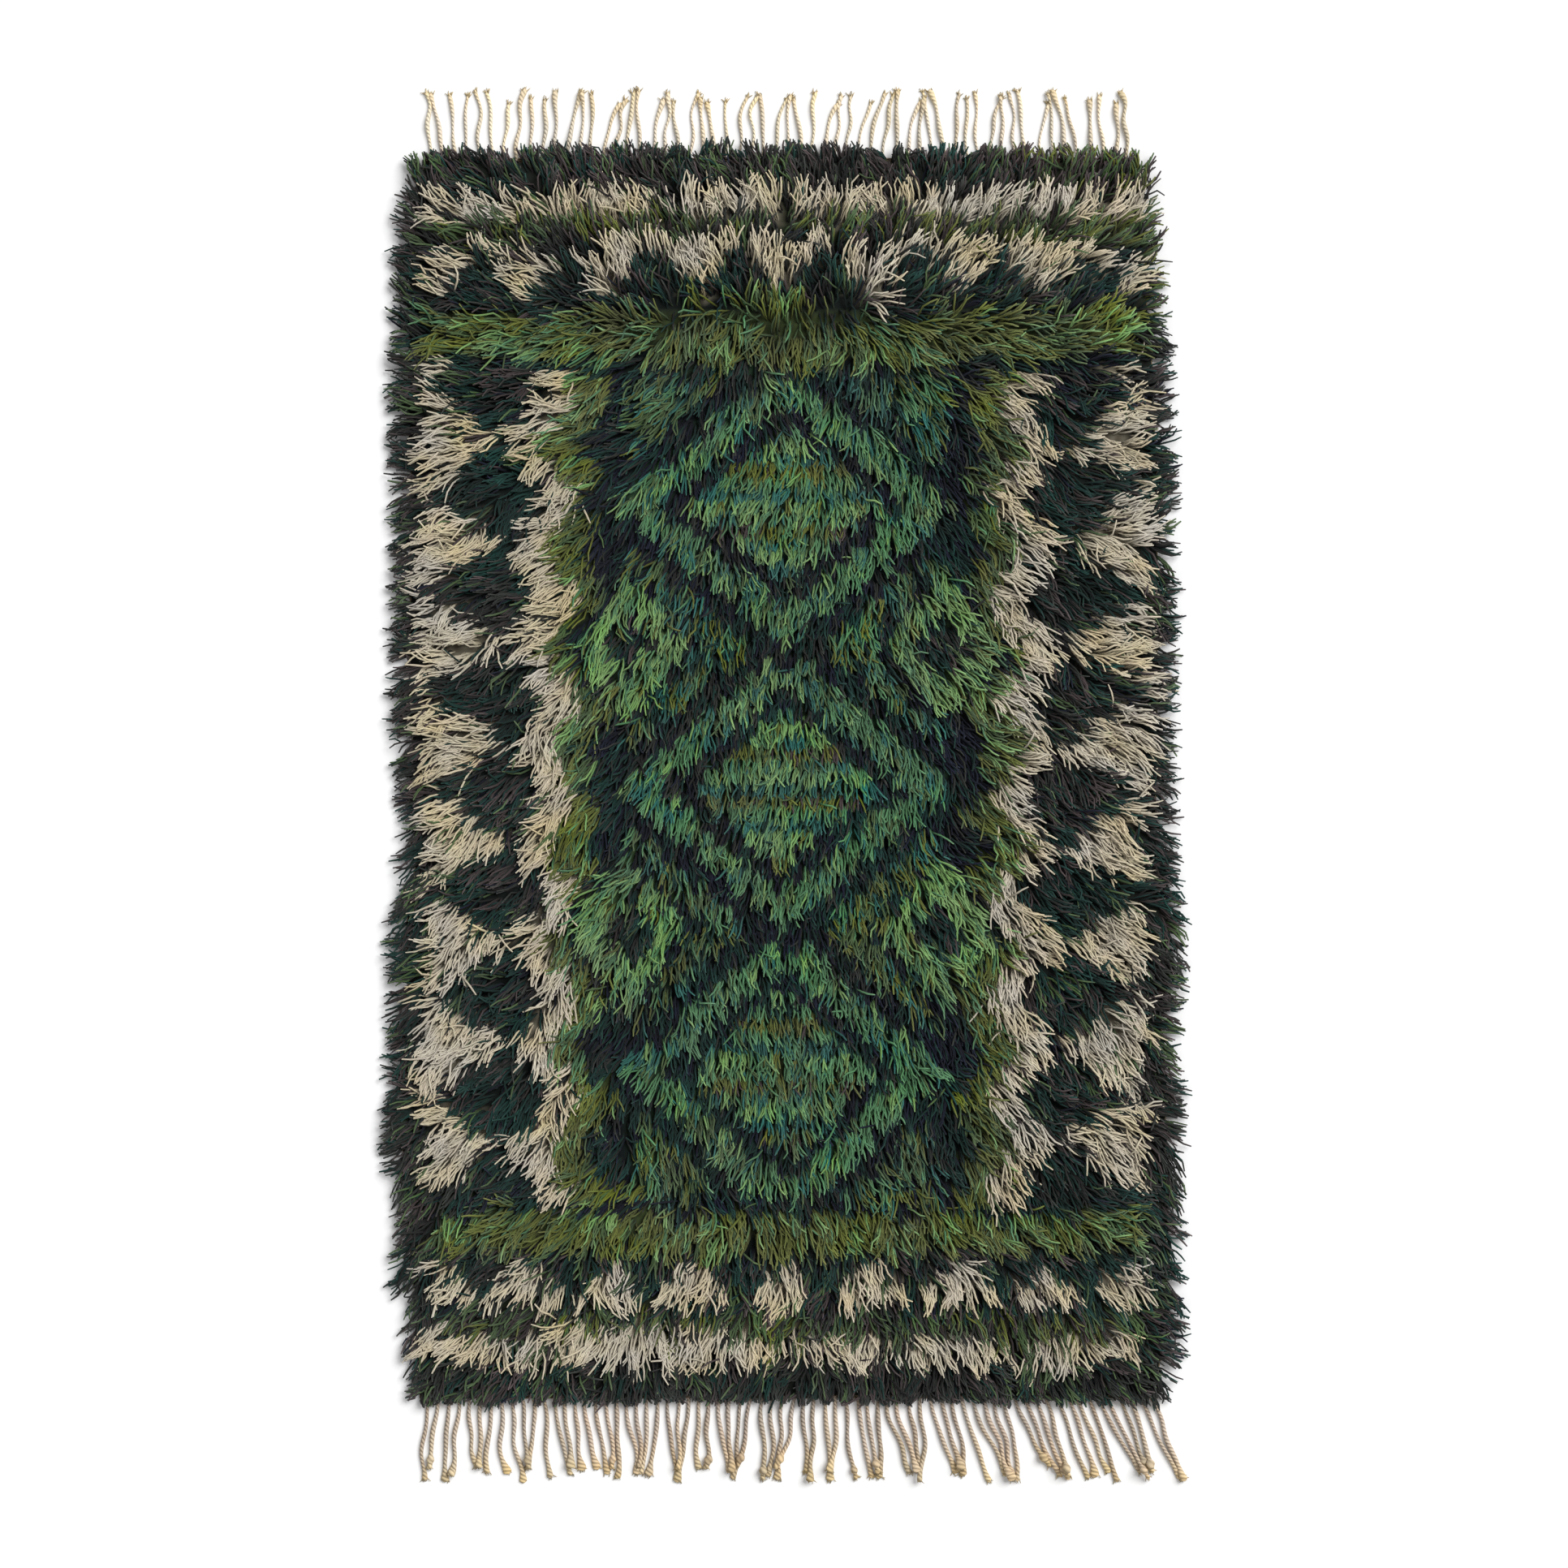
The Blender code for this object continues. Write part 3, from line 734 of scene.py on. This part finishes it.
def tuft_places(x, y):
    """For each yarn end, the number of its tuft and its offset from the tuft's middle."""
    cells = 128
    jitter = np.random.default_rng(16).uniform(0.08, 0.92, (cells, cells, 2))
    u, v = x / TUFT_SIZE + 0.5 * cells, y / TUFT_SIZE + 0.5 * cells
    nearest = np.full(len(x), np.inf)
    number = np.zeros(len(x), int)
    off = np.zeros((len(x), 2))
    for i in (-1, 0, 1):
        for j in (-1, 0, 1):
            cell_i, cell_j = np.floor(u).astype(int) + i, np.floor(v).astype(int) + j
            du = u - cell_i - jitter[cell_i, cell_j, 0]
            dv = v - cell_j - jitter[cell_i, cell_j, 1]
            away = np.hypot(du, dv)
            closer = away < nearest
            nearest[closer] = away[closer]
            number[closer] = (cell_i * cells + cell_j)[closer]
            off[closer] = np.stack((du, dv), axis=1)[closer] * TUFT_SIZE
    return number, off, cells * cells


def pile_paths(x, y, stand, draw):
    """The course of every yarn end, from its knot to its tip."""
    count = len(x)
    middle = middle_field(x, y)
    free = 1.0 - 0.55 * middle
    tuft, off, tufts = tuft_places(x, y)

    angle, settled = lie_of_pile(x, y + draw.normal(0.0, 0.011, count) * (y > 0.5))
    angle += TUFT_TURN * draw.normal(0.0, 0.7, tufts)[tuft] * free
    angle += draw.normal(0.0, math.radians(4.5), count)
    bend = TUFT_BEND * draw.normal(0.0, 0.8, tufts)[tuft] * free
    bend += draw.normal(0.0, math.radians(14.0), count) * (1.0 + 0.8 * middle)
    stray = draw.random(count) < STRAY_SHARE
    angle += np.where(stray, draw.normal(0.0, math.radians(30.0), count), 0.0)

    length = draw.uniform(*YARN_LENGTH, count)
    length *= 1.0 - MIDDLE_SHORTER * middle
    length *= 1.0 + (draw.uniform(-0.20, 0.12, tufts)[tuft]) * free
    beside = (off[:, 1] * np.cos(angle) - off[:, 0] * np.sin(angle)) / TUFT_SIZE
    length *= 1.0 - 0.28 * np.minimum(np.abs(beside), 0.8) * free
    length *= 0.75 + 0.25 * settled
    left, right = side_edges(y)
    room = np.where(x > 0.0, right - x, x - left) + SIDE_OVER
    room = room / np.maximum(np.abs(np.cos(angle)), 0.35) + draw.uniform(-0.012, 0.010, count)
    length = np.where(np.abs(x) > 0.48, np.minimum(length, np.maximum(room, 0.020)), length)
    room = (y - PILE_BOTTOM + END_TRIM) / np.maximum(-np.sin(angle), 0.35)
    room = room + draw.uniform(-0.003, 0.004, count) + draw.uniform(-0.005, 0.004, tufts)[tuft]
    length = np.where(y < -0.78, np.minimum(length, np.maximum(room, 0.012)), length)
    room = (top_of_pile(x, y) + TOP_OVER - y) / np.maximum(np.sin(angle), 0.35)
    room = room + draw.uniform(-0.004, 0.007, count) + draw.uniform(-0.012, 0.006, tufts)[tuft]
    length = np.where(y > 0.82, np.minimum(length, np.maximum(room, 0.014)), length)
    pull = draw.uniform(*TUFT_PULL, tufts)[tuft] * free * beside * TUFT_SIZE

    share = np.array([0.0, 0.27, 0.53, 0.77, 1.0])
    flatness = np.array([0.68, 0.93, 0.99, 0.99])
    rings = len(share)
    steps = np.zeros((count, rings, 2))
    steps[:, 0, 0], steps[:, 0, 1] = x, y
    curl = draw.normal(0.0, math.radians(12.0), (count, rings))
    for ring in range(1, rings):
        run = (share[ring] - share[ring - 1]) * length * flatness[ring - 1]
        way = angle + bend * (share[ring] - 0.4) + curl[:, ring]
        steps[:, ring, 0] = steps[:, ring - 1, 0] + run * np.cos(way)
        steps[:, ring, 1] = steps[:, ring - 1, 1] + run * np.sin(way)
    shift = -pull[:, None] * share ** 1.5
    places = np.zeros((count, rings, 3))
    places[:, :, 0] = steps[:, :, 0] - shift * np.sin(angle)[:, None]
    places[:, :, 1] = steps[:, :, 1] + shift * np.cos(angle)[:, None]
    places[:, 0, 2] = ROOT_HIGH

    lump = 0.0036 * drift(x, y, 0.060, 14) + TUFT_LIFT * draw.uniform(-1.0, 1.0, tufts)[tuft]
    lump += stand - 0.0024 * (beside * 1.6) ** 2
    loose = draw.normal(0.0, 0.0018, count) + np.where(stray, 0.0025, 0.0)
    rise = np.array([0.0, 0.58, 0.92, 1.0, 0.90]) - np.outer(middle, (0.0, -0.08, 0.0, 0.02, 0.16))
    for ring in range(1, rings):
        near, to_end = inside_edge(places[:, ring, 0], places[:, ring, 1])
        over_fringe = np.clip((0.030 - to_end) / 0.020, 0.0, 1.0)
        low = PILE_EDGE_LOW + 0.0052 * over_fringe
        full = 1.0 - np.exp(-np.maximum(near + 0.026, 0.0) / RIM_FALL)
        high = low + (PILE_HIGH - low + lump * free + loose) * full
        z = ROOT_HIGH + (high - ROOT_HIGH) * rise[:, ring]
        z += draw.normal(0.0, 0.0009, count) * full * (ring > 1)
        places[:, ring, 2] = np.maximum(z, 0.0028 + 0.0052 * over_fringe)
    return places


def build_pile():
    draw = np.random.default_rng(3)
    x, y, zone, knot = knot_places(draw)
    yarn = yarn_of_zone(x, y, zone, knot, draw)
    stand = np.array(column(YARN_ROWS, YARN_COLUMNS, "stand"))[yarn]
    places = pile_paths(x, y, stand, draw)
    swell = draw.uniform(0.84, 1.16, len(x))[:, None]
    half = YARN_HALF * swell * np.array([0.85, 1.0, 1.0, 0.96, 0.66])
    tuft, _, tufts = tuft_places(x, y)
    lot = 0.6 * draw.random((len(x), 2)) + 0.4 * draw.random((tufts, 2))[tuft]
    for index, row in enumerate(YARN_ROWS):
        name, dye, vary, painted_root_shade, fading, _, rings = row
        here = np.nonzero(yarn == index)[0][:, None]
        mesh = yarn_mesh("pile_" + name, places[here, rings], half[here, rings], lot[here[:, 0]])
        material = pile_material("yarn_" + name, dye, vary, painted_root_shade, fading)
        add_piece("pile_" + name, mesh, material, "pile_yarn", "pile")


def slab_mesh(name, across, along, low, high, ripple, inset_low, inset_high, margin):
    """A thin closed sheet that fills the rug's outline between two places along it."""
    u = np.linspace(0.0, 1.0, across)
    y = np.linspace(low, high, along)
    left, right = side_edges(y)
    left, right = left + margin, right - margin
    x = left[:, None] + (right - left)[:, None] * u[None, :]
    y = np.broadcast_to(y[:, None], x.shape)
    top = np.stack((x, y, inset_high + ripple(x, y)), axis=-1)
    under = np.stack((x, y, np.full(x.shape, inset_low)), axis=-1)
    places = np.concatenate((under.reshape(-1, 3), top.reshape(-1, 3)))
    index = np.arange(across * along).reshape(along, across)
    quad = np.stack((index[:-1, :-1], index[:-1, 1:], index[1:, 1:], index[1:, :-1]), axis=-1).reshape(-1, 4)
    shift = across * along
    rim = np.concatenate((index[0, :-1], index[:-1, -1], index[-1, :0:-1], index[:0:-1, 0]))
    nxt = np.roll(rim, -1)
    wall = np.stack((rim, nxt, nxt + shift, rim + shift), axis=-1)
    corners = np.concatenate((quad[:, ::-1].ravel(), (quad + shift).ravel(), wall.ravel()))
    counts = np.full(2 * len(quad) + len(wall), 4)
    return fill_mesh(name, places, corners, counts)


def build_bed():
    """The knots at the foot of the pile: low ridges, a row for each row of knots, in their zone's yarn
    colours darkened as painted shade.
    """
    def ripple(x, y):
        rows = 0.0012 * np.cos(2.0 * math.pi * (y - FIRST_ROW) / ROW_PITCH)
        return rows + 0.0012 * drift(x, y, 0.012, 31)

    mesh = slab_mesh(
        "pile_knots", 46, 120, FIRST_ROW - 0.006, LAST_ROW - 0.002, ripple,
        CLOTH_THICK + 0.0003, CLOTH_THICK + 0.0030, CLOTH_INSET + 0.002,
    )
    places = np.empty(len(mesh.vertices) * 3, np.float32)
    mesh.vertices.foreach_get("co", places)
    places = places.reshape(-1, 3)
    zone = zone_at(places[:, 0], places[:, 1])
    shades = np.array([linear(dye) for dye in column(YARN_ROWS, YARN_COLUMNS, "dye")])
    mixed = np.array([
        sum(share * shades[YARN_NAMES.index(shade)] for shade, share in ZONE_MIXES[name].items())
        for name in ZONE_NAMES
    ])
    told = np.ones((len(places), 4), np.float32)
    # Painted shade: the knots take their zone's mixed yarn colour darkened to 0.22, as the shade deep under
    # the pile.
    told[:, :3] = 0.22 * mixed[zone]
    dye = mesh.color_attributes.new("dye", "FLOAT_COLOR", "POINT")
    dye.data.foreach_set("color", told.ravel())

    material, nodes, shader = new_material("knotted_roots", 0.95, 0.0)
    attribute = nodes.add("ShaderNodeAttribute", attribute_name="dye")
    weave = place_group(nodes, WEAVE, Warp_pitch=KNOT_PITCH, Weft_pitch=ROW_PITCH, Slub=0.6)
    own = attribute.outputs["Color"]
    dull = nodes.mix(weave.outputs["Crossing"], own, (0.55, 0.52, 0.50, 1.0), "MULTIPLY")
    nodes.link(dull, shader.inputs["Base Color"])
    nodes.bump(shader, weave.outputs["Height"], 1.0, 0.001)
    return add_piece("pile_knots", mesh, material, "pile_yarn", "pile")


# The ground and its two headings
def build_ground(material):
    def ripple(x, y):
        return 0.00012 * drift(x, y, 0.030, 41)

    mesh = slab_mesh(
        "ground_weave", 34, 54, BOTTOM_EDGE + STRIP_DEPTH + 0.0003, TOP_EDGE - STRIP_DEPTH - 0.0003,
        ripple, 0.0, CLOTH_THICK, CLOTH_INSET,
    )
    return add_piece("ground_weave", mesh, material, "ground", "ground_cloth")


def build_heading(name, edge, way, node, material):
    """The woven heading: a few thick wefts side by side, pinched where the warps cross them."""
    left, right = side_edges(edge - way * STRIP_DEPTH)
    left, right = float(left) + CLOTH_INSET, float(right) - CLOTH_INSET
    wefts, rings, sides = 4, 160, 6
    depth = STRIP_DEPTH / wefts
    x = np.linspace(left, right, rings)
    path = np.zeros((wefts, rings, 3))
    radius = np.zeros((wefts, rings))
    for weft in range(wefts):
        pinch = np.cos(2.0 * math.pi * x / 0.0260 + math.pi * weft)
        path[weft, :, 0] = x
        path[weft, :, 1] = edge - way * depth * (weft + 0.5)
        radius[weft] = 0.5 * depth * (1.04 + 0.10 * pinch)
        path[weft, :, 2] = 0.0002 + 0.5 * depth * 1.14
    lot = np.random.default_rng(71).random((wefts, 2))
    mesh = tube_mesh(name, path, radius, sides, lot)
    return add_piece(name, mesh, material, "warp_cord", node)


# The fringe
CORD_WIDTH = 0.0056
CORD_CLEAR = 0.0012
CORD_RUN = 0.130
CORD_LEVELS = 9
CORD_MARGIN = 0.004
ROOT_UNEVEN = 0.10
GROUP_LARGEST = 4
GROUP_PULL = 0.62
SWAY_SIDE = 0.0040
SWAY_TURNS = 1.3
SWAY_EVERY = 5
CORD_GATHER = 0.62            # the tips of a group lean together by this share more than in the solids
CORD_TUCK = 0.004             # how far a cord starts under the heading
WISPS = 8                     # loose fibres at a cord's end
FRINGE_COLUMNS = (
    "name", "edge", "way", "cords", "shortest", "longest", "seed", "radius", "flare", "uneven",
    "sway", "gather", "knotted", "rounded",
)
FRINGE_ROWS = (
    ("fringe_top", TOP_EDGE, 1.0, 58, 0.083, 0.104, 21, 0.00225, 0.40, 0.22, 0.0058, 0.6, 0.02, 0.0052),
    ("fringe_bottom", BOTTOM_EDGE, -1.0, 70, 0.10, 0.126, 45, 0.00285, 1.25, 0.1, 0.0042, 1.3, 0.18, 0.0022),
)
SLANT_COLUMNS = ("place", "top", "bottom")
SLANT_ROWS = (
    (0.00, -0.16, -0.10),
    (0.20, 0.10, 0.12),
    (0.45, 0.06, -0.08),
    (0.62, 0.12, 0.10),
    (0.75, -0.08, 0.30),
    (0.88, -0.12, 0.42),
    (1.00, 0.05, 0.45),
)


def cord_places(edge_left, edge_right, cords, slants, draw):
    """Sideways place of every cord at each level away from the heading, as in the solids."""
    levels = np.linspace(0.0, 1.0, CORD_LEVELS)
    pitch = (edge_right - edge_left) / cords
    roots = edge_left + pitch * (np.arange(cords) + 0.5)
    roots += draw.uniform(-ROOT_UNEVEN, ROOT_UNEVEN, cords) * pitch
    group = np.zeros(cords, int)
    leader = 0
    while leader < cords:
        size = int(draw.integers(1, GROUP_LARGEST + 1))
        group[leader:leader + size] = leader
        leader += size
    pull = np.zeros(cords)
    for first in np.unique(group):
        members = np.nonzero(group == first)[0]
        pull[members] = roots[members].mean() - roots[members]
    knots = np.arange(0, cords + SWAY_EVERY, SWAY_EVERY)
    sway = np.interp(np.arange(cords), knots, draw.uniform(-1.0, 1.0, len(knots)))
    places = np.zeros((len(levels), cords))
    shares = (roots - edge_left) / (edge_right - edge_left)
    lean = eased(shares, column(SLANT_ROWS, SLANT_COLUMNS, "place"), slants)
    apart = CORD_WIDTH * 1.12 + CORD_CLEAR
    for index, level in enumerate(levels):
        drawn = GROUP_PULL * pull * level ** 1.6
        wave = SWAY_SIDE * sway * math.sin(2.0 * math.pi * SWAY_TURNS * level)
        line = roots + lean * CORD_RUN * level + drawn + wave
        for _ in range(40):
            short = apart * np.hypot(1.0, 0.5 * (lean[1:] + lean[:-1])) - np.diff(line)
            push = 0.5 * np.clip(short, 0.0, None)
            line[:-1] -= push
            line[1:] += push
        places[index] = line
    places[0] = roots
    return levels * CORD_RUN, places, group


def smooth_read(at, places, sizes):
    """Read a curve without corners through evenly spaced sizes."""
    step = places[1] - places[0]
    u = np.clip(at / step, 0.0, len(places) - 1.001)
    i = u.astype(int)
    f = u - i
    padded = np.concatenate(([2.0 * sizes[0] - sizes[1]], sizes, [2.0 * sizes[-1] - sizes[-2]]))
    a, b, c, d = padded[i], padded[i + 1], padded[i + 2], padded[np.minimum(i + 3, len(padded) - 1)]
    return b + 0.5 * f * (c - a + f * (2.0 * a - 5.0 * b + 4.0 * c - d + f * (3.0 * (b - c) + d - a)))


def build_fringe(row, material, loose_material):
    sizes = dict(zip(FRINGE_COLUMNS, row))
    name, edge, way, cords = sizes["name"], sizes["edge"], sizes["way"], sizes["cords"]
    draw = np.random.default_rng(sizes["seed"])
    left, right = side_edges(edge - way * STRIP_DEPTH)
    left, right = float(left) + CLOTH_INSET, float(right) - CLOTH_INSET
    slants = column(SLANT_ROWS, SLANT_COLUMNS, "top" if way > 0 else "bottom")
    reach, places, group = cord_places(left + CORD_MARGIN, right - CORD_MARGIN, cords, slants, draw)
    lengths = draw.uniform(sizes["shortest"], sizes["longest"], cords)

    draw = np.random.default_rng(sizes["seed"] + 500)
    rings, sides = 42, 8
    share = np.linspace(0.0, 1.0, rings)
    away = share * lengths[:, None]
    course = np.stack([smooth_read(away[cord], reach, places[:, cord]) for cord in range(cords)])
    sway = draw.uniform(-1.0, 1.0, (cords, 1)) * sizes["sway"] * share
    wander = away / draw.uniform(0.009, 0.015, (cords, 1)) + draw.uniform(0.0, 6.0, (cords, 1))
    course += sway * np.sin(wander)
    course += draw.normal(0.0, 0.0050, (cords, 1)) * share ** 4
    gather = CORD_GATHER * draw.uniform(0.1, sizes["gather"], cords)
    for first in np.unique(group):
        members = np.nonzero(group == first)[0]
        middle = course[members].mean(axis=0)
        course[members] += gather[members, None] * share ** 3 * (middle - course[members])

    from_tip = lengths[:, None] - away
    uneven = sizes["uneven"]
    thick = sizes["radius"] * (0.70 + 0.30 * np.clip(away / 0.030, 0.0, 1.0))
    thick = thick * draw.uniform(1.0 - uneven, 1.0 + uneven, (cords, 1))
    lumps = away / draw.uniform(0.008, 0.014, (cords, 1)) + draw.uniform(0.0, 6.0, (cords, 1))
    thick = thick * (1.0 + uneven * np.sin(lumps))
    flare = draw.uniform(0.15, sizes["flare"], (cords, 1))
    flared = 1.0 + flare * np.clip((0.024 - from_tip) / 0.017, 0.0, 1.0) ** 1.5
    knotted = draw.random((cords, 1)) < sizes["knotted"]
    knot = np.exp(-((from_tip - 0.014) / 0.0042) ** 4)
    swell = np.where(knotted, 1.0 + 0.95 * knot + 0.25 * (from_tip < 0.008), flared)
    close = np.sqrt(np.clip(from_tip / sizes["rounded"], 0.05, 1.0))
    radius = thick * swell * close
    flat = 1.0 / np.where(knotted, 1.0, flared ** 1.4)

    path = np.zeros((cords, rings, 3))
    path[:, :, 0] = course
    path[:, :, 1] = edge + way * (away - CORD_TUCK)
    path[:, :, 2] = radius * flat + 0.0002
    path[:, -1, 2] = path[:, -2, 2]
    over = (np.arange(cords) - group) % 2 == 1
    for cord in np.nonzero(over)[0]:
        for beside in (cord - 1, cord + 1):
            if 0 <= beside < cords:
                gap = np.abs(course[cord] - course[beside])
                touch = radius[cord] + radius[beside]
                raised = np.sqrt(np.clip(touch ** 2 - gap ** 2, 0.0, None)) * 0.8
                path[cord, :, 2] = np.maximum(path[cord, :, 2], path[beside, :, 2] + raised)
    lot = draw.random((cords, 2))
    mesh = tube_mesh(name + "_cords", path, radius, sides, lot, flat)
    made = add_piece(name + "_cords", mesh, material, "warp_cord", name)
    wisp = build_wisps(name, path, radius, loose_material, draw)
    return made, wisp


def build_wisps(name, path, radius, material, draw):
    """The cords' cut ends: loose fibres that spread a little."""
    tip = np.repeat(path[:, -3, :], WISPS, axis=0)
    ahead = tip - np.repeat(path[:, -9, :], WISPS, axis=0)
    angle = np.arctan2(ahead[:, 1], ahead[:, 0])
    count = len(angle)
    spread = draw.uniform(-1.0, 1.0, count)
    wide = np.repeat(radius[:, -4], WISPS)
    length = draw.uniform(0.004, 0.010, count)
    steps = np.array([0.0, 0.35, 0.7, 1.0])
    fibre = np.zeros((count, 4, 3))
    fibre[:, 0, :] = tip
    fibre[:, 0, 0] -= 0.85 * spread * wide * np.sin(angle)
    fibre[:, 0, 1] += 0.85 * spread * wide * np.cos(angle)
    fibre[:, 0, 2] += draw.uniform(-0.5, 0.5, count) * 0.001
    turn = 0.35 * spread + draw.normal(0.0, 0.16, count)
    curl = draw.normal(0.0, 0.5, count)
    for ring in range(1, 4):
        way_now = angle + turn + curl * steps[ring]
        run = length * (steps[ring] - steps[ring - 1])
        fibre[:, ring, 0] = fibre[:, ring - 1, 0] + run * np.cos(way_now)
        fibre[:, ring, 1] = fibre[:, ring - 1, 1] + run * np.sin(way_now)
        fibre[:, ring, 2] = np.maximum(fibre[:, 0, 2] * (1.0 - 0.5 * steps[ring]), 0.0009)
    thin = np.full((count, 4), 0.00080) * np.array([1.0, 1.0, 0.85, 0.45])
    mesh = tube_mesh(name + "_wisps", fibre, thin, 3, draw.random((count, 2)))
    return add_piece(name + "_wisps", mesh, material, "warp_cord", name)


# Floor, light and camera
WORLD_LIGHT = 0.40
SUN_LIGHT = 3.2
SUN_ANGLE = math.radians(40.0)
SUN_FROM = (2.0, 1.7, 2.6)


def build_stage():
    size = 60.0
    mesh = bpy.data.meshes.new("floor")
    mesh.from_pydata(
        [(-size, -size, 0.0), (size, -size, 0.0), (size, size, 0.0), (-size, size, 0.0)], [], [(0, 1, 2, 3)],
    )
    material, _, shader = new_material("floor", 0.9, 0.0, 0.1)
    shader.inputs["Base Color"].default_value = (0.95, 0.95, 0.95, 1.0)
    mesh.materials.append(material)
    floor = bpy.data.objects.new("floor", mesh)
    bpy.context.scene.collection.objects.link(floor)
    floor.location.z = -0.0004

    world = bpy.data.worlds.new("studio")
    world.use_nodes = True
    sky = world.node_tree.nodes["Background"]
    sky.inputs["Color"].default_value = (1.0, 1.0, 1.0, 1.0)
    sky.inputs["Strength"].default_value = WORLD_LIGHT
    bpy.context.scene.world = world

    light = bpy.data.lights.new("window", "SUN")
    light.energy = SUN_LIGHT
    light.angle = SUN_ANGLE
    lamp = bpy.data.objects.new("window", light)
    lamp.location = SUN_FROM
    lamp.rotation_euler = (-Vector(SUN_FROM)).to_track_quat("-Z", "Y").to_euler()
    bpy.context.scene.collection.objects.link(lamp)


PHOTO_SIDE = 1932             # pixels
METRES_PER_PIXEL = 0.001165
CAMERA_LENS = 85.0
CAMERA_SENSOR = 36.0


def build_camera():
    """Straight above, with the photograph's whole frame in view."""
    data = bpy.data.cameras.new("camera")
    data.lens = CAMERA_LENS
    data.sensor_width = CAMERA_SENSOR
    camera = bpy.data.objects.new("camera", data)
    bpy.context.scene.collection.objects.link(camera)
    side = PHOTO_SIDE * METRES_PER_PIXEL
    camera.location = (0.0, 0.0017, side * CAMERA_LENS / CAMERA_SENSOR)
    bpy.context.scene.camera = camera


def main():
    bpy.context.scene.view_settings.view_transform = "Standard"
    build_camera()
    build_stage()
    ground_cloth = weave_material("ground_weave", (150, 132, 104), (176, 160, 130))
    heading = cord_material("heading_weft", (120, 104, 84), (120, 104, 84), 0.14, 0.4)
    top = cord_material("cord_pale", (238, 224, 198), (234, 212, 168), 0.16, 0.14)
    low = cord_material("cord_brown", (204, 186, 166), (226, 200, 146), 0.18, 0.62)
    wisp = cord_material("cord_fibre", (222, 200, 154), (230, 212, 170), 0.20, 0.0)
    ground = build_ground(ground_cloth)
    build_bed()
    build_pile()
    trims = []
    for row, cord in zip(FRINGE_ROWS, (top, low)):
        trims += build_fringe(row, cord, wisp)
        trims.append(build_heading(row[0] + "_heading", row[1], row[2], row[0], heading))


main()
